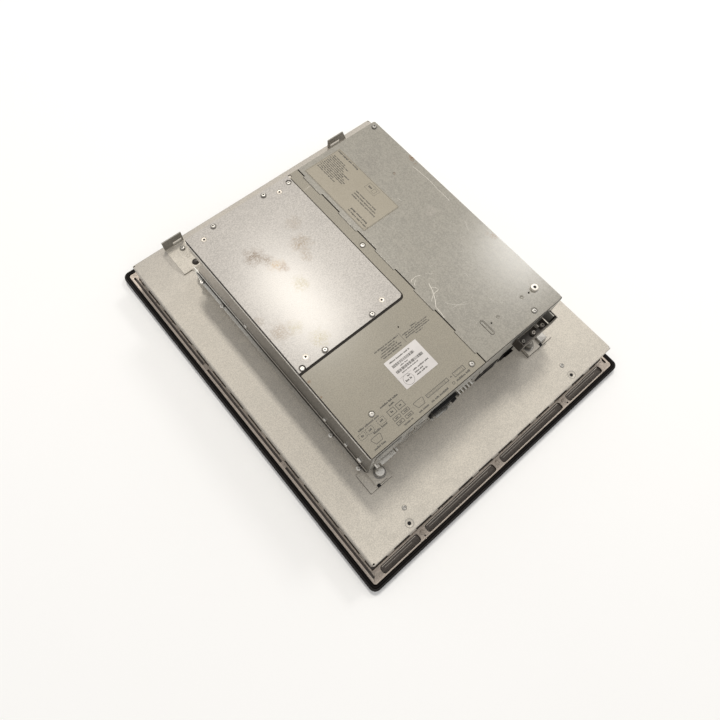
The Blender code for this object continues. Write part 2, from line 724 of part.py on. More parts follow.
def system_cover():
    """Printed L-shaped lid: a wide end over the sockets and a strip beside the drive cover."""
    edge_x = DRIVE_X1 + 0.9
    edge_y = DRIVE_Y0 - 2.8
    outline = seam_points(0.0)
    outline = [(x, y) for x, y in reversed(outline)]
    outline += [(edge_x + 2.4, BOX_Y1 - 0.2), (edge_x + 2.4, BOX_Y1 - 4.6), (edge_x, BOX_Y1 - 4.6)]
    outline += arc_points(edge_x - 6.0, edge_y + 6.0, 6.0, 0.0, -90.0)
    outline += [(BOX_X0 + 0.3, edge_y), (BOX_X0 + 0.3, BOX_Y0 + 0.6)]
    bm = bmesh.new()
    add_loft(bm, [at(outline, LID_Z), at(outline, TOP_Z)])
    cover = solid("system_cover", bm, printed_sheet())
    holes = bmesh.new()
    for point in SYSTEM_SCREWS:
        add_counterbore(holes, point)
    add_cylinder(holes, (-24.2, -62.0, LID_Z - 1.0), 0.8, 4.0, steps=12)
    cut(cover, holes)
    join_sunk_screws(cover, SYSTEM_SCREWS)


def expansion_cover():
    right = BOX_X1 - 0.2
    low = BOX_Y0 + 0.4
    outline = seam_points(SEAM_GAP)
    outline += arc_points(right - 4.0, low + 4.0, 4.0, -90.0, 0.0)
    outline += arc_points(right - 2.0, BOX_Y1 - 2.2, 2.0, 0.0, 90.0, 3)
    bm = bmesh.new()
    add_loft(bm, [at(outline, LID_Z), at(outline, TOP_Z)])
    cover = solid("expansion_cover", bm, bright_sheet())
    holes = bmesh.new()
    for point in ((107.9, -118.9), (52.4, -118.6)):
        add_cylinder(holes, (*point, LID_Z - 1.0), 0.9, 4.0, steps=12)
    for point in EXPANSION_SCREWS:
        add_counterbore(holes, point)
    cut(cover, holes)
    join_sunk_screws(cover, EXPANSION_SCREWS)
    collar = bmesh.new()
    add_loft(collar, [at(rounded(*COLLAR_X, *COLLAR_Y, 2.0), z) for z in (TOP_Z - 0.3, TOP_Z + 0.45)])
    join(cover, collar)
    recess = bmesh.new()
    inner_x = (COLLAR_X[0] + 0.9, COLLAR_X[1] - 0.9)
    inner_y = (COLLAR_Y[0] + 0.9, COLLAR_Y[1] - 0.9)
    add_loft(recess, [at(rounded(*inner_x, *inner_y, 1.1), z) for z in (TOP_Z - 0.2, TOP_Z + 1.0)])
    cut(cover, recess)
    bush = bmesh.new()
    add_turned(bush, [(2.3, -2.6), (2.3, -0.5), (3.9, -0.3), (3.9, 2.6), (3.5, 3.0), (1.5, 3.0), (1.4, 0.5)],
               (*BUSH, TOP_Z))
    join(cover, bush)


def labels():
    bm = bmesh.new()
    add_loft(bm, [at(rounded(22.7, 73.4, 45.3, 147.6, 1.2, 3), z) for z in (TOP_Z + 0.05, TOP_Z + 0.3)])
    solid("rating_plate", bm, foil_label())
    bm = bmesh.new()
    add_loft(bm, [at(rounded(-62.0, -20.3, -116.3, -82.3, 0.8, 3), z) for z in (TOP_Z + 0.05, TOP_Z + 0.25)])
    solid("serial_label", bm, paper_label())


# ---------------------------------------------------------------- computer unit: sockets

PORT_STACKS = (("left", (-91.0, -75.0)), ("right", (-73.0, -57.0)))
PORT_Z = (68.2, 98.5)
FIELDBUS = ((-125.0, -94.0), (68.5, 81.0))
SERIAL = ((-50.0, -19.0), (68.5, 81.0))
CARD = ((-53.0, -19.6), (88.0, 106.0))
VIDEO = ((-18.0, 5.0), (88.0, 104.0))
INLET = ((26.0, 54.0), (54.0, 76.0))
SWITCH = ((62.0, 78.0), (55.0, 77.0))
OPTION = ((-125.0, -93.0), (86.0, 112.0))


def socket_openings():
    """Panel cut-outs as (x, z) spans."""
    spans = [FIELDBUS, SERIAL, CARD, VIDEO, INLET, SWITCH]
    spans += [(x, PORT_Z) for _, x in PORT_STACKS]
    return spans


def port_stacks():
    """Two stacked connectors, each with a network jack above two USB sockets."""
    for side, (x0, x1) in PORT_STACKS:
        bm = bmesh.new()
        add_box(bm, (x0, x1), (PANEL_Y0 - 1.0, PANEL_Y0 + 20.0), PORT_Z)
        stack = solid(f"port_stack_{side}", bm, connector_shell())
        mouths = bmesh.new()
        add_box(mouths, (x0 + 2.1, x1 - 2.1), (PANEL_Y0 - 2.0, PANEL_Y0 + 12.0), (88.0, 96.5))
        for z in (70.0, 77.8):
            add_box(mouths, (x0 + 1.6, x1 - 1.6), (PANEL_Y0 - 2.0, PANEL_Y0 + 11.0), (z, z + 4.8))
        cut(stack, mouths)


def dsub_outline(x, z, inset=0.0):
    """D-shaped face of a sub-D connector, wider at the top."""
    x0, x1 = x[0] + inset, x[1] - inset
    z0, z1 = z[0] + inset, z[1] - inset
    return [(x0 + 2.2, z0), (x1 - 2.2, z0), (x1, z1), (x0, z1)]


def dsub(name, span, pins):
    x, z = span
    bm = bmesh.new()
    add_box(bm, (x[0], x[1]), (PANEL_Y0 - 0.6, PANEL_Y0 + 9.0), z)
    body = solid(name, bm, connector_shell())
    shell = bmesh.new()
    outline = dsub_outline((x[0] + 6.0, x[1] - 6.0), (z[0] + 2.0, z[1] - 2.0))
    add_loft(shell, [[(px, y, pz) for px, pz in outline] for y in (PANEL_Y0 + 1.0, PANEL_Y0 - 6.0)])
    join(body, shell)
    hollow = bmesh.new()
    inner = dsub_outline((x[0] + 6.0, x[1] - 6.0), (z[0] + 2.0, z[1] - 2.0), 0.6)
    depth = PANEL_Y0 - 1.0 if not pins else PANEL_Y0 + 2.0
    add_loft(hollow, [[(px, y, pz) for px, pz in inner] for y in (depth, PANEL_Y0 - 7.0)])
    cut(body, hollow)
    nuts = bmesh.new()
    for px in (x[0] + 3.0, x[1] - 3.0):
        add_cylinder(nuts, (px, PANEL_Y0, (z[0] + z[1]) / 2.0), 2.4, 5.0, "-y", 6)
    join(body, nuts)


def video_connector():
    x, z = VIDEO
    bm = bmesh.new()
    add_box(bm, x, (PANEL_Y0 - 0.6, PANEL_Y0 + 10.0), z)
    body = solid("video_connector", bm, connector_shell())
    shell = bmesh.new()
    add_box(shell, (x[0] + 2.0, x[1] - 2.5), (PANEL_Y0 - 5.0, PANEL_Y0 + 1.0), (z[0] + 3.5, z[1] - 3.5))
    join(body, shell)
    slots = bmesh.new()
    for i in range(4):
        px = x[0] + 3.6 + 4.2 * i
        add_box(slots, (px, px + 2.6), (PANEL_Y0 - 6.0, PANEL_Y0 - 1.0), (z[0] + 2.5, z[1] - 2.5))
    cut(body, slots)


def card_slot():
    """Black frame of the memory-card slot with its mouth and the channel of the eject button."""
    x, z = CARD
    bm = bmesh.new()
    add_box(bm, x, (PANEL_Y0 - 3.6, PANEL_Y0 + 30.0), z)
    frame = solid("card_slot", bm, dark_plastic())
    recesses = bmesh.new()
    add_box(recesses, (x[0] + 2.0, -28.5), (PANEL_Y0 - 4.6, PANEL_Y0 + 24.0), (96.5, 101.5))
    bx, _, bz = BUTTON_CENTRE
    add_box(recesses, (bx - 2.4, bx + 2.4), (PANEL_Y0 - 4.6, PANEL_Y0 + 15.0), (bz - 4.9, bz + 4.9))
    cut(frame, recesses)


def card_eject_button():
    """Push button beside the card slot; it slides along +Y."""
    x, y, z = BUTTON_CENTRE
    bm = bmesh.new()
    add_box(bm, (x - 2.0, x + 2.0), (y - 6.0, y + 8.0), (z - 4.5, z + 4.5))
    button = solid("card_eject_button", bm, dark_plastic(), BUTTON_CENTRE)
    rounding = button.modifiers.new("Rounded edges", "BEVEL")
    rounding.width = 0.5 * MM
    rounding.segments = 2


def power_inlet():
    x, z = INLET
    bm = bmesh.new()
    add_box(bm, x, (PANEL_Y0 - 1.2, PANEL_Y0 + 22.0), z)
    inlet = solid("power_inlet", bm, dark_plastic())
    mouth = bmesh.new()
    cx = (x[0] + x[1]) / 2.0
    outline = [(cx - 12.0, 56.6), (cx + 12.0, 56.6), (cx + 12.0, 68.5), (cx + 7.5, 73.0), (cx - 7.5, 73.0),
               (cx - 12.0, 68.5)]
    add_loft(mouth, [[(px, y, pz) for px, pz in outline] for y in (PANEL_Y0 + 17.0, PANEL_Y0 - 2.0)])
    cut(inlet, mouth)
    blades = bmesh.new()
    for px, pz in ((cx - 6.6, 61.0), (cx + 6.6, 61.0), (cx, 66.0)):
        add_box(blades, (px - 1.0, px + 1.0), (PANEL_Y0 + 6.0, PANEL_Y0 + 17.5), (pz - 2.0, pz + 2.0))
    join(inlet, blades)


def power_switch():
    """Rocker and the frame that it tips in."""
    x, z = SWITCH
    bm = bmesh.new()
    add_box(bm, x, (PANEL_Y0 - 1.2, PANEL_Y0 + 16.0), z)
    frame = solid("switch_frame", bm, dark_plastic())
    hollow = bmesh.new()
    add_box(hollow, (x[0] + 1.6, x[1] - 1.6), (PANEL_Y0 - 2.0, PANEL_Y0 + 12.0), (z[0] + 1.8, z[1] - 1.8))
    cut(frame, hollow)
    cx, cy, cz = SWITCH_CENTRE
    half = 8.2
    outline = [(cy - 2.6, cz - half), (cy - 1.2, cz), (cy - 2.6, cz + half), (cy + 4.0, cz + half * 0.7),
               (cy + 6.0, cz), (cy + 4.0, cz - half * 0.7)]
    bm = bmesh.new()
    add_loft(bm, [[(px, y, pz) for y, pz in outline] for px in (cx - 6.0, cx + 6.0)])
    turn = Matrix.Rotation(math.radians(SWITCH_TILT), 3, "X")
    bmesh.ops.rotate(bm, cent=SWITCH_CENTRE, matrix=turn, verts=bm.verts)
    solid("power_rocker", bm, dark_plastic(), SWITCH_CENTRE)


def option_plate():
    """Blank plate over the optional sockets, with one oval knock-out."""
    x, z = OPTION
    bm = bmesh.new()
    add_box(bm, x, (PANEL_Y0 - GAP - 1.0, PANEL_Y0 - GAP), z)
    plate = solid("option_plate", bm, zinc_steel())
    hole = bmesh.new()
    outline = rounded(-104.0, -95.0, 91.0, 94.6, 1.75, 4)
    add_loft(hole, [[(px, y, pz) for px, pz in outline] for y in (PANEL_Y0, PANEL_Y0 - 3.0)])
    cut(plate, hole)
    screws = bmesh.new()
    for px, pz in ((-121.5, 109.0), (-96.5, 109.0), (-121.5, 89.5)):
        pan_head(screws, (px, PANEL_Y0 - GAP - 1.0, pz), 2.5, 1.8, "-y")
    join(plate, screws)


def slot_covers():
    """Two blank card brackets lying along X, each with its turned-out end tab."""
    for level, z in (("lower", 80.9), ("upper", 99.7)):
        bm = bmesh.new()
        add_box(bm, (25.0, 127.0), (PANEL_Y0 + 0.1, PANEL_Y0 + 1.0), (z, z + 17.6))
        bracket = solid(f"slot_cover_{level}", bm, bright_sheet())
        tab = bmesh.new()
        add_box(tab, (114.0, 115.0), (PANEL_Y0 - 8.0, PANEL_Y0 + 0.6), (z + 1.0, z + 16.6))
        join(bracket, tab)


def slot_retainer():
    """Dark cage over the ends of the card brackets, open towards the covers."""
    x = (66.0, 118.6)
    y = (PANEL_Y0 - 11.2, PANEL_Y0 - GAP)
    z = (98.6, 113.5)
    bm = bmesh.new()
    add_box(bm, x, y, z)
    cage = solid("slot_retainer", bm, dark_steel())
    hollow = bmesh.new()
    add_box(hollow, (x[0] + 1.2, x[1] - 1.2), (y[0] + 1.2, y[1] + 1.0), (z[0] + 1.2, z[1] + 1.0))
    cut(cage, hollow)
    slit = bmesh.new()
    add_box(slit, (113.6, 115.4), (y[0] + 2.6, y[1] + 1.0), (z[0] - 1.0, z[0] + 2.0))
    cut(cage, slit)
    screws = bmesh.new()
    for px in (76.0, 92.0, 106.0):
        pan_head(screws, (px, PANEL_Y0 - 6.0, 99.8), 2.7, 2.2)
    join(cage, screws)


# ---------------------------------------------------------------- locks

def lock_screw(name, centre):
    """Captive lock screw with a knurled head; it turns about Z."""
    x, y = centre
    top = CARRIER_Z + CARRIER_T + GAP + 1.0 + GAP
    steps = 20
    bm = bmesh.new()
    rings = []
    profile = [(2.5, PLATE_Z + 0.6 - top), (2.5, -0.02), (4.9, 0.0), (4.9, 5.2), (4.3, 5.8),
               (2.9, 5.8), (2.9, 7.6), (2.3, 8.0), (1.2, 8.0), (1.1, 6.2)]
    for radius, height in profile:
        ring = []
        for i in range(steps):
            knurl = 0.3 if radius > 4.0 and i % 2 else 0.0
            angle = 2.0 * math.pi * i / steps
            ring.append((x + (radius - knurl) * math.cos(angle), y + (radius - knurl) * math.sin(angle),
                         top + height))
        rings.append(ring)
    add_loft(bm, rings)
    solid(name, bm, zinc_steel(), (x, y, top))


def circle(centre, radius, steps=24):
    return arc_points(*centre, radius, 0.0, 360.0 - 360.0 / steps, steps - 1)


def lock_washers():
    low = CARRIER_Z + CARRIER_T + GAP
    high = low + 1.0
    for side, centre in (("left", LOCK_LEFT), ("right", LOCK_RIGHT)):
        outer = circle(centre, LOCK_WASHER_R)
        inner = circle(centre, 2.8)
        bm = bmesh.new()
        add_ring(bm, [at(outer, low), at(inner, low), at(inner, high), at(outer, high)])
        solid(f"lock_washer_{side}", bm, zinc_steel())


# ---------------------------------------------------------------- computer unit: inside

def mainboard():
    blocks = [((-40.0, -14.0), (20.0, 58.0), 6.0), ((-124.0, -114.0), (-110.0, -20.0), 7.0),
              ((-88.0, -68.0), (-2.0, 18.0), 0.7),
              ((-8.0, 6.0), (-110.0, -96.0), 3.0), ((-30.0, -10.0), (-90.0, -70.0), 2.5)]
    board_with_parts("mainboard", circuit_board(), (-127.0, 18.0), (-124.0, 100.0), BOARD_Z, blocks,
                     BOARD_Z - BOX_FLOOR_Z - SHEET - GAP)


def cpu_heatsink():
    base_z = BOARD_Z + BOARD_T + 1.0
    cx, cy = FAN_CENTRE
    bm = bmesh.new()
    add_box(bm, (cx - 25.0, cx + 25.0), (cy - 30.0, cy + 30.0), (base_z, base_z + 5.0))
    sink = solid("cpu_heatsink", bm, aluminium())
    fins = bmesh.new()
    for i in range(12):
        y = cy - 29.0 + 5.1 * i
        add_box(fins, (cx - 25.0, cx + 25.0), (y, y + 1.4), (base_z + 4.0, FAN_Z0 - GAP))
    join(sink, fins)


def fan_frame():
    """Square fan housing on the heatsink with its hub bracket."""
    cx, cy = FAN_CENTRE
    half = 25.0
    bm = bmesh.new()
    add_loft(bm, [at(rounded(cx - half, cx + half, cy - half, cy + half, 3.0, 3), z)
                  for z in (FAN_Z0, FAN_Z0 + 15.0)])
    frame = solid("fan_frame", bm, dark_plastic())
    duct = bmesh.new()
    add_cylinder(duct, (cx, cy, FAN_Z0 + 1.5), 23.2, 20.0, steps=28)
    cut(frame, duct)
    ports = bmesh.new()
    for start in (0.0, 90.0, 180.0, 270.0):
        inner = arc_points(cx, cy, 6.5, start + 83.0, start + 7.0, 3)
        outer = arc_points(cx, cy, 22.0, start + 2.5, start + 87.5, 5)
        add_prism(ports, inner + outer, FAN_Z0 - 1.0, FAN_Z0 + 2.0)
    cut(frame, ports)


def fan_rotor():
    """Hub and seven blades; it turns about its own Z axis."""
    cx, cy = FAN_CENTRE
    z0 = FAN_Z0 + 1.5 + GAP
    bm = bmesh.new()
    add_turned(bm, [(9.5, 0.0), (9.5, 11.5), (8.8, 12.2)], (cx, cy, z0), steps=24)
    rotor = solid("fan_rotor", bm, dark_plastic(), (cx, cy, z0))
    for i in range(7):
        blade = bmesh.new()
        turn = Matrix.Rotation(2.0 * math.pi * i / 7.0, 4, "Z") @ Matrix.Rotation(math.radians(38.0), 4, "X")
        place = Matrix.Translation((cx, cy, z0 + 6.0)) @ turn @ Matrix.Translation((15.2, 0.0, 0.0))
        bmesh.ops.create_cube(blade, size=1.0, matrix=place @ Matrix.Diagonal((13.0, 11.0, 1.1, 1.0)))
        join(rotor, blade)


def power_supply():
    bm = bmesh.new()
    add_box(bm, (32.0, 129.0), (-40.0, 148.0), (52.0, 96.0))
    supply = solid("power_supply", bm, galvanised())
    hollow = bmesh.new()
    add_box(hollow, (33.2, 127.8), (-38.8, 146.8), (53.2, 94.8))
    cut(supply, hollow)
    grille = bmesh.new()
    for i in range(9):
        y = -24.0 + 18.0 * i
        for x in (48.0, 84.0):
            add_box(grille, (x, x + 28.0), (y, y + 6.0), (94.0, 97.0))
    cut(supply, grille)


def drive_cage():
    """Folded bracket under the drive cover that carries the hard disk."""
    bm = bmesh.new()
    add_box(bm, (-121.0, -6.0), (44.0, 140.0), (96.2, 97.4))
    cage = solid("drive_cage", bm, zinc_steel())
    walls = bmesh.new()
    for x in (-121.0, -7.2):
        add_box(walls, (x, x + 1.2), (44.0, 140.0), (97.0, LID_Z - GAP))
    join(cage, walls)


def hard_disk():
    bm = bmesh.new()
    add_box(bm, (-112.0, -15.0), (52.0, 132.0), (97.7, 116.0))
    disk = solid("hard_disk", bm, aluminium())
    recess = bmesh.new()
    add_cylinder(recess, (-50.0, 96.0, 115.2), 26.0, 3.0, steps=28)
    cut(disk, recess)


def small_inner_parts():
    board_with_parts("memory_module", circuit_board(), (-110.0, -42.0), (-60.0, -30.0), 72.0,
                     [((-106.0 + 16.0 * i, -94.0 + 16.0 * i), (-54.0, -44.0), 1.2) for i in range(4)],
                     72.0 - BOARD_Z - BOARD_T - GAP)
    bm = bmesh.new()
    add_cylinder(bm, (0.0, -40.0, BOARD_Z + BOARD_T + 0.8), 10.0, 5.0, steps=24)
    solid("buffer_battery", bm, zinc_steel())
    board_with_parts("riser_board", circuit_board(), (56.0, 118.0), (-112.0, -60.0), 90.0,
                     [((62.0, 112.0), (-104.0, -95.0), 11.0), ((62.0, 112.0), (-84.0, -75.0), 11.0)],
                     90.0 - BOX_FLOOR_Z - SHEET - GAP)


def inlet_cable():
    """Flat mains cable from the inlet to the power supply."""
    bm = bmesh.new()
    add_loft(bm, [[(x, y, z) for x, z in rounded(34.0, 46.0, 62.0, 65.0, 1.4, 3)]
                  for y in (-40.0 - GAP, PANEL_Y0 + 22.0 + GAP)])
    solid("inlet_cable", bm, black_rubber())


# ---------------------------------------------------------------- build

def build():
    clear_scene()
    front_bezel()
    touch_glass()
    mounting_gasket()
    front_frame()
    lcd_panel()
    display_chassis()
    display_boards()
    display_rear_cover()
    hinge_brackets()
    hinge_pins()
    bracket_screws()
    bracket_plugs()
    lock_base("lock_base_left", (-141.0, -113.0), LOCK_LEFT)
    lock_base("lock_base_right", (99.0, 139.0), LOCK_RIGHT)
    swing_carrier()
    side_rail("side_rail_left", -1.0, BOX_X0)
    side_rail("side_rail_right", 1.0, BOX_X1)
    housing_tray()
    interface_panel()
    drive_cover()
    system_cover()
    expansion_cover()
    labels()
    port_stacks()
    dsub("fieldbus_connector", FIELDBUS, False)
    dsub("serial_connector", SERIAL, True)
    video_connector()
    card_slot()
    card_eject_button()
    power_inlet()
    power_switch()
    option_plate()
    slot_covers()
    slot_retainer()
    lock_screw("lock_screw_left", LOCK_LEFT)
    lock_screw("lock_screw_right", LOCK_RIGHT)
    lock_washers()
    mainboard()
    cpu_heatsink()
    fan_frame()
    fan_rotor()
    power_supply()
    drive_cage()
    hard_disk()
    small_inner_parts()
    inlet_cable()


build()
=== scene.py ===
"""Looks of an industrial touch panel computer that lies face down: pieces, materials, light and camera.

Lengths are in millimetres until the shape helpers turn them into metres.
"""
import json
import math
import random

import bmesh
import bpy
from mathutils import Matrix, Vector


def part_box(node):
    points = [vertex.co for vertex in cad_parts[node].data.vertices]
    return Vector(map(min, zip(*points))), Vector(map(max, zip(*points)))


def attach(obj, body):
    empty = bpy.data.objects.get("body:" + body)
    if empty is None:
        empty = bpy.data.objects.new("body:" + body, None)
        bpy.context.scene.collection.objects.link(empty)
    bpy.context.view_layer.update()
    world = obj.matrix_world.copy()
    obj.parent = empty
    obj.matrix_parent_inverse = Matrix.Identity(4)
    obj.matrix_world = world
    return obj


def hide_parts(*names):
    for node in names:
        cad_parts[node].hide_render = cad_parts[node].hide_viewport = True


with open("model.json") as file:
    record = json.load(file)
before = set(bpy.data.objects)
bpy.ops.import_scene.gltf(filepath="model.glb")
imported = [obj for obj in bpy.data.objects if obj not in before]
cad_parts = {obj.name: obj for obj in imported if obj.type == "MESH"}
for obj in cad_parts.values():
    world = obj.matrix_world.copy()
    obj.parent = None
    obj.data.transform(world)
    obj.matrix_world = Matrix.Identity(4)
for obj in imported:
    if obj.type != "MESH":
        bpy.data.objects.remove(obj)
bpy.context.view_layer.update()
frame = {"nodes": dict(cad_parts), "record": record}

MM = 0.001
GAP = 0.3
DISPLAY = "display_unit"
COMPUTER = "computer_unit"
BOTH = (-1, 1)
SIDES = (("left", -1), ("right", 1))


def corners(node):
    """Lowest and highest corner of a node, in millimetres."""
    low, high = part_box(node)
    return tuple(low / MM), tuple(high / MM)


def foot_of(node):
    return corners(node)[0][2]


def top_of(node):
    return corners(node)[1][2]


# Places taken from the frame
BEZEL = corners("front_bezel")
FRONT = (BEZEL[1][0] - BEZEL[0][0], BEZEL[1][1] - BEZEL[0][1], 8)
RIM_Z = BEZEL[1][2]
RIM_W = 5.6
GLASS = corners("touch_glass")
CASTING = corners("front_frame")
CASTING_TOP = 8
BOSS_X = (-120, -3, 111.5)
PLATE_Z = foot_of("lock_base_left") - GAP
PLATE_X = 185.4
PLATE_Y = 219
SKIRT_Z = foot_of("display_rear_cover")
FOOT_TOP = PLATE_Z + GAP + 1.5
COVER_HOLES = ((-130.1, -211), (123, -211))
COVER_RIVETS = ((-123.8, -196.2), (122.5, -196.2))

TOP_Z = foot_of("rating_plate") - 0.05
DRIVE = corners("drive_cover")
LID_Z = DRIVE[0][2]
PANEL_Y = corners("housing_tray")[0][1]
BOX_X0 = DRIVE[0][0] - 0.3
BOX_X1 = corners("expansion_cover")[1][0] + 0.2
BOX_Y1 = corners("housing_tray")[1][1]
LUG_Z = foot_of("swing_carrier") + 1.5
LOCKS = {side: sum(map(Vector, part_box(f"lock_screw_{side}")), Vector()) / (2 * MM) for side, _ in SIDES}

DRIVE_SCREWS = ((-98.9, 149.2), (-33.6, 148.6), (-35.6, -35.2), (-96.7, -35.2))
COUNTERSUNK = ((-115.6, 142), (-17, 142), (-17, -28.5), (-115.6, -28.5))
RECESSED_SCREWS = ((-1.2, 146), (-125.6, -36))
SYSTEM_SCREWS = ((-103.9, -113.1), (5.4, -137.5), (10.1, 33.1))
EXPANSION_SCREWS = ((97.3, -137), (126, 147.5))
SCREW_HOLE = 3.5
UNDER_LID = LID_Z - 1
OVER_TOP = TOP_Z + 1
BUSH = (116.2, -118.8)
SLOT = (44.3, 46.7, -127.9, -110.7)
SEAM_X = 15.4
SEAM_STEP = 1.6
SEAM_PITCH = 30.4
SEAM_FIRST = 141.6
SEAM_GAPS = (0.5, 1.3)

BODY_OF = {node: body for body, nodes in frame["record"]["behaviour"]["bodies"].items() for node in nodes}


# ---- Shape helpers

def arc(cx, cy, radius, start, end, steps=8):
    angles = [math.radians(start + (end - start) * i / steps) for i in range(steps + 1)]
    return [(cx + radius * math.cos(a), cy + radius * math.sin(a)) for a in angles]


def rounded(x0, x1, y0, y1, radius, steps=8):
    """Rounded rectangle, anticlockwise from the +X +Y corner."""
    turns = ((x1 - radius, y1 - radius, 0), (x0 + radius, y1 - radius, 90), (x0 + radius, y0 + radius, 180),
            (x1 - radius, y0 + radius, 270))
    return [point for cx, cy, start in turns for point in arc(cx, cy, radius, start, start + 90, steps)]


def at(outline, *heights):
    """The outline as one ring of points for each height."""
    return [[(x, y, z) for x, y in outline] for z in heights]


def nested(size, *levels):
    """Rounded rings round the middle of the front, one for each (inset, z); size is width, length and radius."""
    rings = []
    for inset, z in levels:
        x, y = size[0] / 2 - inset, size[1] / 2 - inset
        rings += at(rounded(-x, x, -y, y, max(size[2] - inset, 0.3), 10), z)
    return rings


def stacked(box, *levels, steps=6):
    """Rounded rings above each other, one for each (inset, radius, z); box is x0, x1, y0 and y1."""
    x0, x1, y0, y1 = box
    rings = []
    for inset, radius, z in levels:
        rings += at(rounded(x0 + inset, x1 - inset, y0 + inset, y1 - inset, radius, steps), z)
    return rings


def mirrored(side, near, far):
    """Span between two distances from the middle, on one side of it."""
    return tuple(sorted((side * near, side * far)))


TURNS = {"z": Matrix.Identity(4), "x": Matrix.Rotation(math.radians(90), 4, "Y"),
        "-x": Matrix.Rotation(math.radians(-90), 4, "Y"), "-y": Matrix.Rotation(math.radians(90), 4, "X")}


class Shape:
    """Mesh in the making; every method adds to it and returns it."""

    def __init__(self):
        self.bm = bmesh.new()

    def loft(self, rings, caps=True):
        loops = [[self.bm.verts.new(point) for point in ring] for ring in rings]
        count = len(loops[0])
        for low, high in zip(loops, loops[1:]):
            for i in range(count):
                j = (i + 1) % count
                self.bm.faces.new((low[i], low[j], high[j], high[i]))
        if caps:
            self.bm.faces.new(list(reversed(loops[0])))
            self.bm.faces.new(loops[-1])
        return self

    def ring(self, sections):
        """Closed band whose sections run once round its cross-section."""
        self.loft([*sections, sections[0]], caps=False)
        bmesh.ops.remove_doubles(self.bm, verts=self.bm.verts, dist=1e-5)
        return self

    def hoop(self, point, z, profile, steps=35):
        """Round band about a point, from (radius, height over z) pairs."""
        end = 360 - 360 / (steps + 1)
        return self.ring([at(arc(*point, radius, 0, end, steps), z + rise)[0] for radius, rise in profile])

    def box(self, x, y, z):
        size = Vector((x[1] - x[0], y[1] - y[0], z[1] - z[0]))
        centre = Vector((x[0] + x[1], y[0] + y[1], z[0] + z[1])) / 2
        place = Matrix.Translation(centre) @ Matrix.Diagonal((*size, 1))
        bmesh.ops.create_cube(self.bm, size=1, matrix=place)
        return self

    def turned(self, profile, centre, axis="z", steps=32, wave=0, waves=0):
        """Turned body from (radius, height) pairs; wave makes the radius rise and fall round the axis."""
        place = Matrix.Translation(centre) @ TURNS[axis]
        angles = [2 * math.pi * i / steps for i in range(steps)]
        rings = []
        for radius, height in profile:
            reach = [radius + wave * math.cos(waves * a) for a in angles]
            rings.append([place @ Vector((r * math.cos(a), r * math.sin(a), height)) for r, a in zip(reach, angles)])
        return self.loft(rings)

    def holes(self, points, radius, z0, z1, steps=28):
        for point in points:
            self.turned([(radius, z0), (radius, z1)], (*point, 0), steps=steps)
        return self

    def slab(self, box, radius, z0, z1, steps=6):
        return self.loft(stacked(box, (0, radius, z0), (0, radius, z1), steps=steps))


def linked(name, bm):
    mesh = bpy.data.meshes.new(name)
    bm.to_mesh(mesh)
    bm.free()
    made = bpy.data.objects.new(name, mesh)
    bpy.context.scene.collection.objects.link(made)
    return made


def mesh_object(name, shape):
    bmesh.ops.scale(shape.bm, vec=(MM, MM, MM), verts=shape.bm.verts)
    bmesh.ops.recalc_face_normals(shape.bm, faces=shape.bm.faces)
    return linked(name, shape.bm)


def apply_modifier(made, kind, **settings):
    step = made.modifiers.new(kind.lower(), kind)
    for name, value in settings.items():
        setattr(step, name, value)
    depsgraph = bpy.context.evaluated_depsgraph_get()
    mesh = bpy.data.meshes.new_from_object(made.evaluated_get(depsgraph))
    made.modifiers.clear()
    made.data = mesh


def boolean(target, shape, operation):
    tool = mesh_object("tool", shape)
    apply_modifier(target, "BOOLEAN", operation=operation, solver="EXACT", use_self=True, object=tool)
    bpy.data.objects.remove(tool, do_unlink=True)


def surface(mesh):
    mesh.calc_loop_triangles()
    return sum(triangle.area for triangle in mesh.loop_triangles)


SHARP = math.radians(35)


def bevel(made, width):
    apply_modifier(made, "BEVEL", width=width * MM, segments=2, limit_method="ANGLE", angle_limit=SHARP,
            use_clamp_overlap=False, miter_outer="MITER_ARC")


def soften(made, width):
    """Small bevel on the sharp edges, then smooth shading across what is nearly flat."""
    if width:
        plain = made.data.copy()
        bevel(made, width)
        # A flat face with many holes can overlap itself in the bevel; it is then split into triangles first.
        if surface(made.data) > 1.005 * surface(plain):
            bm = bmesh.new()
            bm.from_mesh(plain)
            bmesh.ops.triangulate(bm, faces=[face for face in bm.faces if len(face.verts) > 4], quad_method="BEAUTY",
                    ngon_method="EAR_CLIP")
            bm.to_mesh(plain)
            bm.free()
            made.data = plain
            bevel(made, width)
    made.data.shade_smooth()
    made.data.set_sharp_from_angle(angle=SHARP)
    apply_modifier(made, "WEIGHTED_NORMAL", keep_sharp=True, weight=100)


def settle(made, body, look, replaces=()):
    made.data.materials.clear()
    made.data.materials.append(LOOKS[look])
    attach(made, body)
    if replaces:
        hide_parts(*replaces)
    return made


def piece(name, shape, body, look, edge=0, replaces=(), cuts=None):
    """Mesh piece that rides on a body: cuts are taken away before the edges soften."""
    made = mesh_object(name, shape)
    if cuts:
        boolean(made, cuts, "DIFFERENCE")
    soften(made, edge)
    return settle(made, body, look, replaces)


def refine(node, look, edge=0.2):
    """Finer copy of a CAD node with softened edges, which stands for the node."""
    bm = bmesh.new()
    bm.from_mesh(frame["nodes"][node].data)
    bmesh.ops.remove_doubles(bm, verts=bm.verts, dist=2e-6)
    bmesh.ops.dissolve_limit(bm, angle_limit=math.radians(1), verts=bm.verts, edges=bm.edges)
    made = linked(f"{node}_fine", bm)
    soften(made, edge)
    settle(made, BODY_OF[node], look, (node,))


# ---- Materials

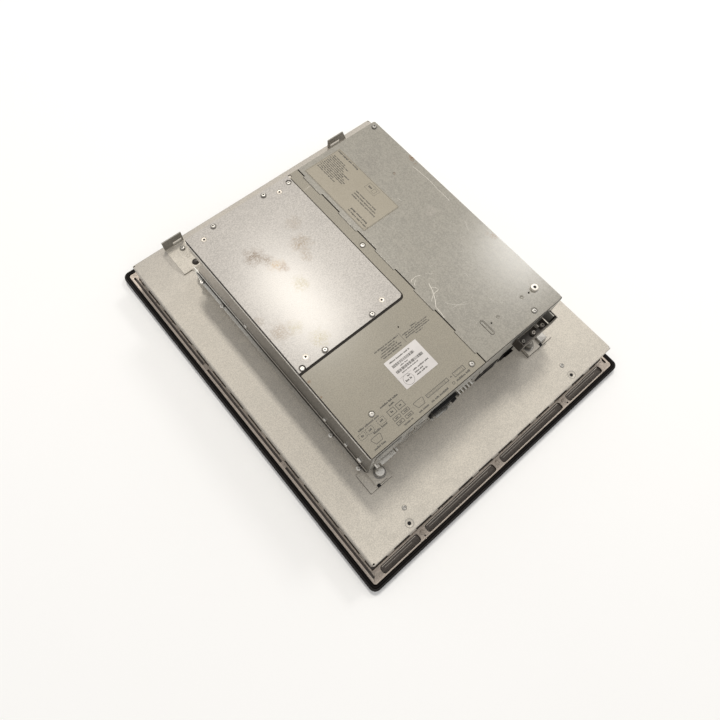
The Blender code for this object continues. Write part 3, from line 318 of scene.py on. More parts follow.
class Look:
    """Node material or sky in the making; its helpers return output sockets."""

    def __init__(self, block, shader="Principled BSDF", place="Object"):
        block.use_nodes = True
        self.material = block
        self.tree = block.node_tree
        self.shader = self.tree.nodes[shader]
        self.place = self.tree.nodes.new("ShaderNodeTexCoord").outputs[place]

    def join(self, source, socket):
        if isinstance(source, bpy.types.NodeSocket):
            self.tree.links.new(source, socket)
        else:
            socket.default_value = source

    def set(self, name, value):
        self.join(value, self.shader.inputs[name])

    def node(self, kind, output, inputs, **settings):
        """Adds a node, joins its inputs and gives back the output of that name."""
        made = self.tree.nodes.new(f"ShaderNode{kind}")
        for name, value in settings.items():
            setattr(made, name, value)
        for name, value in inputs.items():
            self.join(value, made.inputs[name])
        return made.outputs[output]

    def noise(self, size, detail=3, stretch=None):
        """Noise whose features are about size millimetres across."""
        place = self.node("Mapping", "Vector", {"Vector": self.place, "Scale": stretch}) if stretch else self.place
        return self.node("TexNoise", "Fac", {"Vector": place, "Scale": 1 / (size * MM), "Detail": detail,
                "Roughness": 0.55})

    def cells(self, size):
        """Random grey value for each cell about size millimetres across."""
        cells = self.node("TexVoronoi", "Color", {"Vector": self.place, "Scale": 1 / (size * MM)})
        return self.node("SeparateColor", "Red", {"Color": cells})

    def scale(self, source, low, high, to_low, to_high):
        return self.node("MapRange", "Result", {"Value": source, "From Min": low, "From Max": high, "To Min": to_low,
                "To Max": to_high})

    def along(self, axis):
        return self.node("SeparateXYZ", axis, {"Vector": self.place})

    def maths(self, operation, a, b=0):
        return self.node("Math", "Value", {0: a, 1: b}, operation=operation)

    def mix(self, factor, a, b):
        a, b = (tone if isinstance(tone, bpy.types.NodeSocket) else (*tone, 1) for tone in (a, b))
        return self.node("Mix", "Result", {"Factor": factor, "A": a, "B": b}, data_type="RGBA")

    def spot(self, centre, radius):
        """Mask of a ragged blotch round a point, 1 in its middle and 0 outside."""
        wobble = self.node("TexNoise", "Color", {"Vector": self.place, "Scale": 1 / (6 * MM), "Detail": 4})
        middle = self.node("VectorMath", "Vector", {0: wobble, 1: (0.5, 0.5, 0.5)}, operation="SUBTRACT")
        pushed = self.node("VectorMath", "Vector", {0: middle, 1: [radius * 1.5 * MM] * 3, 2: self.place},
                operation="MULTIPLY_ADD")
        away = self.node("VectorMath", "Value", {0: pushed, 1: [value * MM for value in centre]},
                operation="DISTANCE")
        return self.scale(away, radius * MM, radius * 0.2 * MM, 0, 1)

    def bump(self, height, depth):
        """Bump whose full height stands for depth millimetres."""
        self.set("Normal", self.node("Bump", "Normal", {"Height": height, "Strength": 1, "Distance": depth * MM}))


def shades(tint, contrast):
    return (tuple(channel * (1 - contrast) for channel in tint),
            tuple(min(channel * (1 + contrast), 0.95) for channel in tint))


def sheet(name, tint, rough, metallic, coat=0, spangle=3.5, grain=1.3, streak=None, bumps=0.02, contrast=0.16,
        second=None, stains=()):
    """Zinc-coated sheet: crystal pattern, fine grain, soft cloudiness, ragged stains and a thin glossy film.

    second is (tint, axis, low, high): the tint that takes over between those two places on the axis; the looks use it
    to paint light and shade.
    """
    look = Look(bpy.data.materials.new(name))
    crystals = look.cells(spangle)
    fine = look.noise(grain, 4)
    clouds = look.noise(38, 3)
    value = look.maths("ADD", look.scale(crystals, 0, 1, -0.16, 0.16), look.scale(fine, 0.35, 0.65, 0, 1))
    value = look.maths("ADD", value, look.scale(clouds, 0.3, 0.7, -0.22, 0.22))
    if streak:
        value = look.maths("ADD", value, look.scale(look.noise(3, 4, streak), 0.3, 0.7, -0.25, 0.25))
    colour = look.mix(value, *shades(tint, contrast))
    if second:
        other, axis, low, high = second
        level = look.scale(look.along(axis), low * MM, high * MM, 0, 1)
        colour = look.mix(level, colour, look.mix(value, *shades(other, contrast)))
    shine = look.maths("ADD", look.scale(crystals, 0, 1, rough - 0.03, rough + 0.04),
            look.scale(clouds, 0.3, 0.7, -0.04, 0.05))
    for centre, radius, tone, strength in stains:
        mask = look.maths("MULTIPLY", look.spot(centre, radius), strength)
        mask = look.maths("MULTIPLY", mask, look.scale(look.noise(1.5, 4), 0.42, 0.56, 0.15, 1))
        colour = look.mix(mask, colour, tone)
        shine = look.maths("ADD", shine, look.maths("MULTIPLY", mask, 0.2))
    look.set("Base Color", colour)
    look.set("Roughness", shine)
    look.set("Metallic", metallic)
    if coat:
        look.set("Coat Weight", coat)
        look.set("Coat Roughness", look.scale(fine, 0.3, 0.7, 0.18, 0.25))
    look.bump(look.maths("ADD", fine, look.maths("MULTIPLY", crystals, 0.15)), bumps)
    return look.material


def plastic(name, dark, light, rough, grain=0.35, bumps=0.01, coat=0, specular=0.5):
    look = Look(bpy.data.materials.new(name))
    look.set("Specular IOR Level", specular)
    fine = look.noise(grain, 3)
    clouds = look.noise(25, 3)
    look.set("Base Color", look.mix(look.scale(clouds, 0.3, 0.7, 0, 1), dark, light))
    look.set("Roughness", look.scale(fine, 0.3, 0.7, rough - 0.07, rough + 0.08))
    if coat:
        look.set("Coat Weight", coat)
        look.set("Coat Roughness", 0.1)
    look.bump(fine, bumps)
    return look.material


def screen_look():
    """Touch glass: black border and a slightly lighter picture area."""
    look = Look(bpy.data.materials.new("touch_glass"))
    across = look.maths("ABSOLUTE", look.along("X"))
    along = look.maths("ABSOLUTE", look.along("Y"))
    inside = look.maths("MULTIPLY", look.maths("LESS_THAN", across, 150.5 * MM),
            look.maths("LESS_THAN", along, 188 * MM))
    picture = look.mix(look.noise(60), (0.02, 0.023, 0.028), (0.03, 0.034, 0.04))
    look.set("Base Color", look.mix(inside, (0.004, 0.004, 0.005), picture))
    look.set("Roughness", look.scale(look.noise(9, 4), 0.3, 0.7, 0.05, 0.11))
    look.set("Coat Weight", 0.6)
    look.set("Coat Roughness", 0.03)
    return look.material


def on_lids(*stains):
    """Stains on top of the lids, from (x, y, radius, tone, strength)."""
    return [((x, y, TOP_Z), radius, tone, strength) for x, y, radius, tone, strength in stains]


RUST = (0.2, 0.105, 0.045)
GLUE = (0.25, 0.175, 0.1)
PALE_GLUE = (0.34, 0.29, 0.16)
DARK_GLUE = (0.17, 0.11, 0.06)
ORANGE = (0.36, 0.23, 0.09)
PLATE_TINT = (0.56, 0.52, 0.455)
LOOKS = {
    # plate_sheet: the tint darkens from Y 130 to 240 towards the hinge end as painted shade.
    "plate": sheet("plate_sheet", PLATE_TINT, 0.6, 0.2, 0.4, second=((0.4, 0.37, 0.33), "Y", 130, 240)),
    # bracket_sheet: darker above the foot, on the upright tab, as painted shade of its unlit face.
    "bracket": sheet("bracket_sheet", PLATE_TINT, 0.6, 0.2, 0.3,
            second=((0.27, 0.255, 0.225), "Z", FOOT_TOP + 0.9, FOOT_TOP + 1.9)),
    # rail_sheet: the tint turns near white from Y 10 to 110 towards the hinge end, a painted pool of light on the
    # flange.
    "rail": sheet("rail_sheet", (0.45, 0.415, 0.36), 0.5, 0.1, 0.4, second=((0.92, 0.87, 0.78), "Y", 10, 110)),
    "drive": sheet("drive_sheet", (0.415, 0.388, 0.357), 0.6, 0.15, 0.42, 3, bumps=0.05, contrast=0.2,
            stains=on_lids((-88, 93, 13, DARK_GLUE, 1), (-80, 82, 9, DARK_GLUE, 1), (-75, 70, 10, ORANGE, 0.9),
            (-71, 63, 6.5, RUST, 1), (-39, 75, 14, GLUE, 0.8), (-44, 60, 9, GLUE, 0.6), (-69, 37, 11, PALE_GLUE, 0.9),
            (-92, -22, 12, PALE_GLUE, 0.9), (-118, 8, 14, GLUE, 0.7), (-104, 2, 10, PALE_GLUE, 0.7),
            (-30, 100, 11, GLUE, 0.4), (-126.9, 30, 6, GLUE, 0.6))),
    "system": sheet("system_sheet", (0.285, 0.259, 0.207), 0.65, 0.1, 0.25, 2.5, 1,
            stains=on_lids((-129, -51, 2.5, RUST, 1), (-130, -70, 1.6, RUST, 0.8))),
    "expansion": sheet("expansion_sheet", (0.262, 0.244, 0.205), 0.6, 0.15, 0.9, 4, 1.4, (1, 0.35, 1), 0.03,
            stains=on_lids((130.5, 87, 5, RUST, 1), (128, 78, 2, RUST, 0.9), (130.5, -47, 5.5, RUST, 1),
            (126, -40, 3, RUST, 0.6), (85, 108, 18, (0.2, 0.18, 0.16), 0.3), (100, 83, 2.2, RUST, 0.9),
            (97, 20, 9, (0.5, 0.45, 0.4), 0.35))),
    # wall_sheet: very dark as painted shade on the unlit walls, turning light from Y -20 to 125 towards the hinge end
    # as painted light; the rust stains are real.
    "wall": sheet("wall_sheet", (0.125, 0.112, 0.093), 0.42, 0.4, 0.3, second=((0.44, 0.405, 0.36), "Y", -20, 125),
            stains=(((BOX_X0, 88.5, 81.5), 6, RUST, 0.7), ((BOX_X0, 135.8, 75.5), 5, RUST, 0.4))),
    "trim": sheet("folded_edge", (0.82, 0.77, 0.69), 0.4, 0.2, 0.3, 2, 0.8),
    "zinc": sheet("zinc_parts", (0.36, 0.345, 0.32), 0.34, 0.8, 0.3, 1.5, 0.5),
    "clip": sheet("clip_metal", (0.5, 0.455, 0.4), 0.4, 0.5, 0.3, 1.5, 0.5),
    "panel": sheet("panel_sheet", (0.4, 0.385, 0.35), 0.45, 0.5, 0.2, 2, 0.7),
    "bright": sheet("bright_parts", (0.72, 0.7, 0.66), 0.28, 0.9, 0, 1.5, 0.5),
    # cast_metal: dark below Z 7.1 as painted shade in the pockets and recesses, light above Z 7.9 on the top faces.
    "cast": sheet("cast_metal", (0.085, 0.068, 0.055), 0.38, 0.55, 0.5, 1.6, 0.8, (0.15, 1, 1), 0.05, 0.36,
            ((0.43, 0.37, 0.315), "Z", 7.1, 7.9)),
    # ridge_metal: lighter than the casting, a painted highlight along the frame's crest.
    "ridge": sheet("ridge_metal", (0.6, 0.52, 0.45), 0.4, 0.5, 0.3, 1.6, 0.6),
    # pocket_wall: near black, painted shade for the casting_shade strips on the land beside the cover and on the
    # pocket walls.
    "pocket": sheet("pocket_wall", (0.055, 0.043, 0.034), 0.45, 0.4, 0.3, 1.6, 0.8, (0.2, 1, 1)),
    "knob": sheet("knob_steel", (0.21, 0.195, 0.17), 0.35, 0.6, 0.3, 1.2, 0.5),
    # Near-black steel of the slot retainer, also used as painted shade on the washer rings, the slot groove and the
    # pad edges.
    "dark_steel": sheet("dark_steel", (0.04, 0.032, 0.025), 0.4, 0.5, 0.3, 2, 0.7),
    "shell": sheet("connector_shell", (0.62, 0.6, 0.56), 0.24, 1, 0, 1.2, 0.4),
    "brass": sheet("brass_contacts", (0.7, 0.5, 0.22), 0.28, 1, 0, 1, 0.4),
    "black": plastic("black_plastic", (0.004, 0.004, 0.004), (0.01, 0.01, 0.01), 0.5, specular=0.25),
    "rim": plastic("rim_plastic", (0.003, 0.002, 0.002), (0.007, 0.005, 0.004), 0.55, 0.3, 0.02, 0, 0.12),
    "inlet": plastic("inlet_plastic", (0.022, 0.02, 0.018), (0.036, 0.033, 0.03), 0.45, 0.3, 0.02, 0, 0.4),
    "rubber": plastic("rubber", (0.02, 0.016, 0.013), (0.05, 0.04, 0.032), 0.5, 0.4, 0.02, 0.2, 0.4),
    # Near-black painted shadow for the gaps under and between the lids and beside the rails.
    "gap_shadow": plastic("gap_shadow_strip", (0.012, 0.009, 0.007), (0.028, 0.022, 0.017), 0.6, 0.3, 0.02, 0, 0.2),
    "charcoal": plastic("charcoal_rubber", (0.006, 0.005, 0.0045), (0.013, 0.011, 0.01), 0.55, 0.72, 0.05, 0, 0.25),
    "board": plastic("circuit_board", (0.012, 0.09, 0.045), (0.02, 0.15, 0.07), 0.35, 2, 0.03, 0.3),
    "paper": plastic("paper", (0.56, 0.53, 0.515), (0.66, 0.63, 0.61), 0.55),
    "foil": sheet("foil_label", (0.275, 0.245, 0.19), 0.5, 0.2, 0.2, 2, 0.8, None, 0.01, 0.1),
    "ink": plastic("ink", (0.035, 0.033, 0.027), (0.065, 0.06, 0.052), 0.6),
    "scratch": sheet("scratch", (0.55, 0.52, 0.47), 0.4, 0.4, 0, 1, 0.4),
    "glass": screen_look(),
}


# ---- Display unit

def bezel():
    window = (GLASS[1][0] - GLASS[0][0] + 2 * GAP, GLASS[1][1] - GLASS[0][1] + 2 * GAP, 3)
    rings = nested(FRONT, (2, 0), (0.9, 0.25), (0.25, 0.9), (0, 2), (0, RIM_Z - 0.7), (0.2, RIM_Z - 0.2),
            (0.7, RIM_Z), (RIM_W - 0.4, RIM_Z), (RIM_W, RIM_Z - 0.4), (RIM_W, 3))
    rings += nested(window, (0, 3), (0, 0.9), (-0.4, 0.25), (-1.1, 0))
    piece("front_bezel_fine", Shape().ring(rings), DISPLAY, "rim", replaces=("front_bezel",))


def gasket():
    """Outer and inner lip of the near-black mounting seal."""
    low, high = foot_of("mounting_gasket"), top_of("mounting_gasket")
    outer = nested(FRONT, (0.4, low), (2.6, low), (2.6, high - 0.5), (2.2, high - 0.1), (1.5, high),
            (0.8, high - 0.2), (0.4, high - 0.6))
    piece("mounting_gasket_fine", Shape().ring(outer), DISPLAY, "charcoal",
            replaces=("mounting_gasket",))
    inner = nested(FRONT, (2.9, low), (5.4, low), (5.4, high - 0.7), (5, high - 0.2), (4, high - 0.1),
            (3.2, high - 0.3), (2.9, high - 0.7))
    piece("gasket_inner_lip", Shape().ring(inner), DISPLAY, "rim")


def spans_between(limit, centres, half):
    edges = [-limit]
    for centre in centres:
        edges += [centre - half, centre + half]
    edges.append(limit)
    return list(zip(edges[0::2], edges[1::2]))


def evenly(half_length, pitch):
    count = int(half_length / pitch)
    return [pitch * i for i in range(-count, count + 1)]


def casting():
    """Front frame with pockets, bosses and an upstand, and the clips, ribs, light ridges of painted highlight and
    dark strips of painted shade in it.
    """
    metal = (CASTING[1][0] - CASTING[0][0], CASTING[1][1] - CASTING[0][1], 3.4)
    opening = (330, 406, 3)
    wall = (2 * PLATE_X + 5.4, 2 * PLATE_Y + 9.2, 2.5)
    low, high, top = CASTING[0][2], CASTING[1][2], CASTING_TOP
    end_pockets = spans_between(179, BOSS_X, 5.5)
    rings = nested(metal, (0, low)) + nested(opening, (0, low), (0, top))
    rings += nested(metal, (0.9, top), (0.3, top - 0.25), (0, top - 0.9))
    made = mesh_object("front_frame_fine", Shape().ring(rings))
    boolean(made, Shape().ring(nested(wall, (0, top - 1), (1.4, top - 1), (1.4, high - 0.3), (1, high), (0.4, high),
            (0, high - 0.4))), "UNION")
    pockets, bosses = Shape(), Shape()
    over = (top + 0.6, top + 4)
    for side in BOTH:
        for x0, x1 in end_pockets:
            pockets.loft(stacked((x0, x1, *mirrored(side, 224.6, 233.6)), (1.6, 1.6, 4.6), (0.6, 2.4, 5),
                    (0, 2.9, 6.4), (0, 2.9, top + 0.5)))
        for span in spans_between(229, (-75, 75), 4):
            pockets.slab((*mirrored(side, 188.5, 190.9), *span), 1.1, 4.8, top + 0.5)
        for x in evenly(150, 32):
            pockets.box((x + 7, x + 11), mirrored(side, 221, 224.4), over)
        for y in evenly(180, 34.2):
            pockets.box(mirrored(side, 186, 189), (y + 7, y + 11), over)
        pockets.holes(((-119.8, side * 232.4), (114, side * 232.4)), 0.9, 5, 9, 20)
        for x in BOSS_X:
            bosses.turned([(2.6, top - 0.5), (2.6, top + 0.45), (2.1, top + 0.7), (1.1, top + 0.7), (1, top + 0.2)],
                    (x, side * 228, 0), steps=24)
    boolean(made, pockets, "DIFFERENCE")
    boolean(made, bosses, "UNION")
    soften(made, 0.28)
    settle(made, DISPLAY, "cast", ("front_frame",))
    clips, shade, ribs = Shape(), Shape(), Shape()
    # Light strips on the crest of the frame: a painted highlight.
    ridge = Shape().ring(nested(metal, (0.9, top - 0.05), (1.7, top - 0.05), (1.6, top + 0.2), (1, top + 0.2)))
    for side in BOTH:
        for x in evenly(170, 32):
            clips.box((x - 5, x + 5), mirrored(side, PLATE_Y + 0.1, PLATE_Y + 2.9), (9, 11.1))
        for y in evenly(206, 34.2):
            clips.box(mirrored(side, PLATE_X + 0.1, PLATE_X + 1.25), (y - 4.6, y + 4.6), (9, 11.1))
        # Thin near-black strips on the land beside the cover and on the pocket walls: painted shade.
        shade.box((-PLATE_X - 0.9, PLATE_X + 0.9), mirrored(side, PLATE_Y - 0.2, PLATE_Y + 3.1), (8.05, 8.3))
        shade.box(mirrored(side, PLATE_X - 0.2, PLATE_X + 1.25), (-PLATE_Y + 0.4, PLATE_Y - 0.4), (8.02, 8.27))
        ridge.box(mirrored(side, metal[0] / 2 - 2.9, metal[0] / 2 - 1.9), (-metal[1] / 2 + 5, metal[1] / 2 - 5),
                (top - 0.05, top + 0.2))
        for x0, x1 in end_pockets:
            shade.slab((x0 + 1.4, x1 - 1.4, *mirrored(side, 231.5, 233.4)), 0.9, 4.62, 6.3)
            ribs.slab((x0 + 2.6, x1 - 2.6, *mirrored(side, 225.4, 226.2)), 0.35, 5, 7.6, 4)
            ribs.slab((x0 + 5, x1 - 9, *mirrored(side, 228.4, 228.8)), 0.15, 4.5, 4.8, 3)
    piece("cover_clips", clips, DISPLAY, "clip", 0.25)
    piece("casting_ridge", ridge, DISPLAY, "ridge")
    piece("pocket_ribs", ribs, DISPLAY, "clip")
    piece("casting_shade", shade, DISPLAY, "pocket", 0.05)


def rear_cover():
    """Shallow folded cover with rolled edges, countersunk holes, slit corners, rivets and inserts."""
    roll = 1.4
    width, length = 2 * PLATE_X, 2 * PLATE_Y
    rings = nested((width, length, 1.8), (0, SKIRT_Z), (0, PLATE_Z - roll))
    for i in range(1, 6):
        a = math.radians(18 * i)
        rings += nested((width, length, 1.8 + roll), (roll * (1 - math.cos(a)), PLATE_Z - roll + roll * math.sin(a)))
    cuts = Shape().loft(nested((width - 2.4, length - 2.4, 1), (0, SKIRT_Z - 1), (0, PLATE_Z - 1.2)))
    for hole in COVER_HOLES:
        cuts.turned([(2, -3), (2, -1.1), (4.4, 0), (4.4, 0.5)], (*hole, PLATE_Z))
    for x in BOTH:
        for y in BOTH:
            cuts.holes([(x * 183.4, y * 217)], 1, PLATE_Z - 4, PLATE_Z + 1, 20)
            cuts.box(mirrored(x, 183.4, 186.5), (y * 217 - 0.35, y * 217 + 0.35), (PLATE_Z - 12, PLATE_Z + 1))
    piece("display_rear_cover_fine", Shape().loft(rings), DISPLAY, "plate", 0,
            ("display_rear_cover",), cuts)
    for number, (rivet, hole) in enumerate(zip(COVER_RIVETS, COVER_HOLES)):
        ring = [(2.6, -0.2), (2.7, 0.3), (2.3, 0.75), (1.7, 0.9), (1.2, 0.8), (1.1, 0.1)]
        piece(f"cover_rivet_{number}", Shape().turned(ring, (*rivet, PLATE_Z)), DISPLAY, "zinc")
        # The insert is black: painted shade inside the countersunk hole.
        seat = [(1.7, -3.6), (1.9, -3.4), (1.9, -1.4), (1.7, -1.3)]
        piece(f"cover_insert_{number}", Shape().turned(seat, (*hole, PLATE_Z)), DISPLAY, "black")
        rim = ((4.2, -0.2), (4.9, -0.1), (4.7, 0.22), (4.3, 0.22))
        piece(f"cover_collar_{number}", Shape().hoop(hole, PLATE_Z, rim), DISPLAY, "zinc")


def pan_screw(name, point, body, axis="z", radius=2.8, height=2, look="zinc", replaces=()):
    """Pan-head screw with a six-lobed socket."""
    head = Shape().turned([(radius * 0.55, -0.4), (radius * 0.96, -0.05), (radius, 0.15), (radius, height * 0.5),
            (radius * 0.93, height * 0.75), (radius * 0.78, height * 0.94), (radius * 0.6, height)], point, axis)
    socket = Shape().turned([(radius * 0.34, height * 0.35), (radius * 0.38, height + 0.5)], point, axis, 36,
            radius * 0.07, 6)
    piece(name, head, body, look, replaces=replaces, cuts=socket)


def bumper(side):
    """Domed rubber stop that the computer unit meets."""
    (x0, y0, z0), (x1, y1, _) = corners(f"bracket_plug_{side}")
    radius = (x1 - x0) / 2
    dome = [(radius * math.cos(math.radians(a)), 1.6 + 3 * math.sin(math.radians(a))) for a in range(0, 90, 15)]
    stop = Shape().turned([(radius - 0.3, 0), (radius, 0.3), *dome], ((x0 + x1) / 2, (y0 + y1) / 2, z0))
    piece(f"bumper_{side}", stop, DISPLAY, "rubber", replaces=(f"bracket_plug_{side}",))


def hinge_parts():
    for side, _ in SIDES:
        refine(f"hinge_bracket_{side}", "bracket", 0.25)
        refine(f"hinge_pin_{side}", "zinc", 0)
        bumper(side)
        refine(f"lock_base_{side}", "plate")
    skirts = Shape()
    low, high = PLATE_Z + 0.02, FOOT_TOP - 0.05
    for x0, reach in ((-143.9, -6), (139.1, 3.3)):
        skirts.loft([[(x0, y, low), (x0 + reach * share, y, low), (x0, y, high)]
                for y, share in ((170.8, 0.25), (185, 1), (210, 1))])
    for span in ((-133, -117.5), (108.5, 139)):
        skirts.loft([[(x, 170.4, low), (x, 167.6, low), (x, 170.4, high)] for x in span])
    piece("foot_skirts", skirts, DISPLAY, "plate", 0.1)
    for side, x in (("left", -125.5), ("right", 122.5)):
        pan_screw(f"bracket_screw_{side}_fine", (x, 201.5, FOOT_TOP + GAP), DISPLAY, radius=3.3, height=2.2,
                replaces=(f"bracket_screw_{side}",))


# ---- Computer unit: lids

def seam_points(near, far):
    """Stepped edge between two lids, from the hinge side down; near and far are its two offsets in turn."""
    x = SEAM_X + SEAM_STEP
    points = [(x + far, BOX_Y1 - 0.2)]
    y = SEAM_FIRST
    while y > PANEL_Y + 3:
        points.append((points[-1][0], y + 0.1))
        x = SEAM_X if x > SEAM_X else SEAM_X + SEAM_STEP
        points.append((x + (far if x > SEAM_X else near), y - 0.1))
        y -= SEAM_PITCH
    points.append((points[-1][0], PANEL_Y + 0.6))
    return points


def lid(name, outline, cuts, edge):
    piece(f"{name}_cover_fine", Shape().loft(at(outline, LID_Z, TOP_Z)), COMPUTER, name, edge,
            (f"{name}_cover",), cuts)


def screws(name, points, z, heights, radius=2.8):
    for number, (point, height) in enumerate(zip(points, heights)):
        pan_screw(f"{name}_screw_{number}", (*point, z), COMPUTER, radius=radius, height=height)


def drive_lid():
    x0, x1, y0, y1 = BOX_X0 + 0.3, DRIVE[1][0], DRIVE[0][1], BOX_Y1 - 0.2
    cuts = Shape()
    for point in COUNTERSUNK:
        cuts.turned([(1.3, -3), (1.3, -1), (3, 0), (3, 0.5)], (*point, TOP_Z))
    cuts.holes(DRIVE_SCREWS, SCREW_HOLE, TOP_Z - 0.6, OVER_TOP)
    cuts.holes(RECESSED_SCREWS, SCREW_HOLE, UNDER_LID, OVER_TOP)
    lid("drive", [(x1, y1), (x0, y1), (x0, y0), *arc(x1 - 5, y0 + 5, 5, -90, 0, 10)], cuts, 0.3)
    screws("drive", DRIVE_SCREWS, TOP_Z - 0.5, [2.3] * 4)
    screws("recessed", RECESSED_SCREWS, LID_Z - 0.2, [1.3] * 2, 2.7)
    for number, point in enumerate(COUNTERSUNK):
        head = [(1.1, -1.2), (2.5, -0.35), (2.6, -0.15), (1.2, -0.2), (1, -0.9)]
        piece(f"flat_screw_{number}", Shape().turned(head, (*point, TOP_Z)), COMPUTER, "clip")
        # Black fill in the socket and a dark ring round the countersink: painted shade.
        socket = [(0.7, -0.7), (1.15, -0.6), (1.15, -0.12), (0.7, -0.1)]
        piece(f"flat_socket_{number}", Shape().turned(socket, (*point, TOP_Z), steps=6), COMPUTER, "black")
        rim = ((2.75, -0.1), (3.3, -0.1), (3.25, 0.06), (2.85, 0.06))
        piece(f"flat_rim_{number}", Shape().hoop(point, TOP_Z, rim), COMPUTER, "knob")


def system_lid():
    edge_x, edge_y, y1 = DRIVE[1][0] + 0.9, DRIVE[0][1] - 2.8, BOX_Y1 - 0.2
    outline = [*reversed(seam_points(0, 0)), (edge_x + 2.4, y1), (edge_x + 2.4, y1 - 4.4), (edge_x, y1 - 4.4),
            *arc(edge_x - 6, edge_y + 6, 6, 0, -90, 10), (BOX_X0 + 0.3, edge_y), (BOX_X0 + 0.3, PANEL_Y + 0.6)]
    cuts = Shape().holes(SYSTEM_SCREWS, SCREW_HOLE, TOP_Z - 0.8, OVER_TOP)
    cuts.holes([(-24.2, -62)], 0.8, UNDER_LID, OVER_TOP, 16)
    lid("system", outline, cuts, 0.25)
    screws("system", SYSTEM_SCREWS, TOP_Z - 0.8, [1.2] * 3)


def expansion_lid():
    """Scratched cover with its screws, a bush, dimples and an oval slot with a collar and a groove."""
    right, low = BOX_X1 - 0.2, PANEL_Y + 0.4
    cuts = Shape().holes(((107.9, -118.9), (52.4, -118.6)), 0.9, UNDER_LID, OVER_TOP, 20)
    cuts.slab(SLOT, 1.1, TOP_Z - 0.3, OVER_TOP)
    cuts.holes(EXPANSION_SCREWS, SCREW_HOLE, TOP_Z - 0.8, OVER_TOP)
    for point in ((98.3, -117.9), (62.5, -118), (99.7, 83)):
        cuts.turned([(0.5, -0.8), (1.5, -0.5), (2.1, 0.02), (2.1, 0.4)], (*point, TOP_Z), steps=24)
    lid("expansion", [*seam_points(*SEAM_GAPS), *arc(right - 4, low + 4, 4, -90, 0, 8),
            *arc(right - 2.5, BOX_Y1 - 2.7, 2.5, 0, 90, 6)], cuts, 0.35)
    screws("expansion", EXPANSION_SCREWS, TOP_Z - 0.8, (1.3, 2.6))
    bush = Shape().turned([(2.3, -2.6), (2.3, -0.2), (4, 0), (4, 2.3), (3.8, 2.8), (3.3, 3), (1.9, 3), (1.6, 2.7),
            (1.5, 0.2)], (*BUSH, TOP_Z), steps=48)
    bore = Shape().turned([(1, 2.2), (1.45, 2.3), (1.45, 2.76), (1, 2.8)], (*BUSH, TOP_Z), steps=24)
    collar = Shape().ring(stacked(SLOT, (-0.9, 2, TOP_Z - 0.1), (-0.7, 1.8, TOP_Z + 0.4), (-0.3, 1.5, TOP_Z + 0.4),
            (0, 1.2, TOP_Z - 0.1)))
    groove = Shape().ring(stacked((43, 48, -129.2, -109.4), (0, 2.4, TOP_Z), (0, 2.4, TOP_Z + 0.03),
            (0.5, 1.9, TOP_Z + 0.03), (0.5, 1.9, TOP_Z)))
    # The black bore ring and the flat dark groove ring round the slot collar are painted shade of the bore and of the
    # groove.
    for name, shape, look in (("cover_bush", bush, "trim"), ("bush_bore", bore, "black"),
            ("slot_collar", collar, "expansion"), ("slot_groove", groove, "dark_steel")):
        piece(name, shape, COMPUTER, look)


def lid_gap_shadows():
    """Dark strips of painted shadow in the gaps under the edges of the lids and between them, and the folded top edge
    of the tray.
    """
    x0, x1, y0, y1 = BOX_X0, BOX_X1, PANEL_Y + 0.3, BOX_Y1
    low, high, under = LID_Z - 3.4, LID_Z - 0.12, LID_Z - 3.5
    gap_shadow = [at(rounded(x0 - out, x1 + out, y0 - out, y1 + out, 1.4 + out, 6), z)[0]
            for out, z in ((-0.9, low), (0.12, low), (0.12, high), (-0.9, high))]
    piece("lid_gap_shadow", Shape().ring(gap_shadow), COMPUTER, "gap_shadow")
    fold = [at(rounded(x0 - out, x1 + out, y0, y1 + out, 1.4 + out, 6), under + rise)[0]
            for out, rise in ((-0.9, -1.6), (0.7, -1.6), (1, -1.1), (1, -0.4), (0.7, 0), (-0.9, 0))]
    piece("tray_fold", Shape().ring(fold), COMPUTER, "trim")
    level = (LID_Z - 0.55, LID_Z - 0.08)
    strips = Shape().box((x0 + 0.6, DRIVE[1][0] + 0.3), (DRIVE[0][1] - 3, DRIVE[0][1] + 2), level)
    strips.box((SEAM_X - 1, SEAM_X + 4), (PANEL_Y + 1.2, y1 - 0.5), level)
    piece("seam_gap_shadow", strips, COMPUTER, "gap_shadow")


# ---- Print and marks on the lids

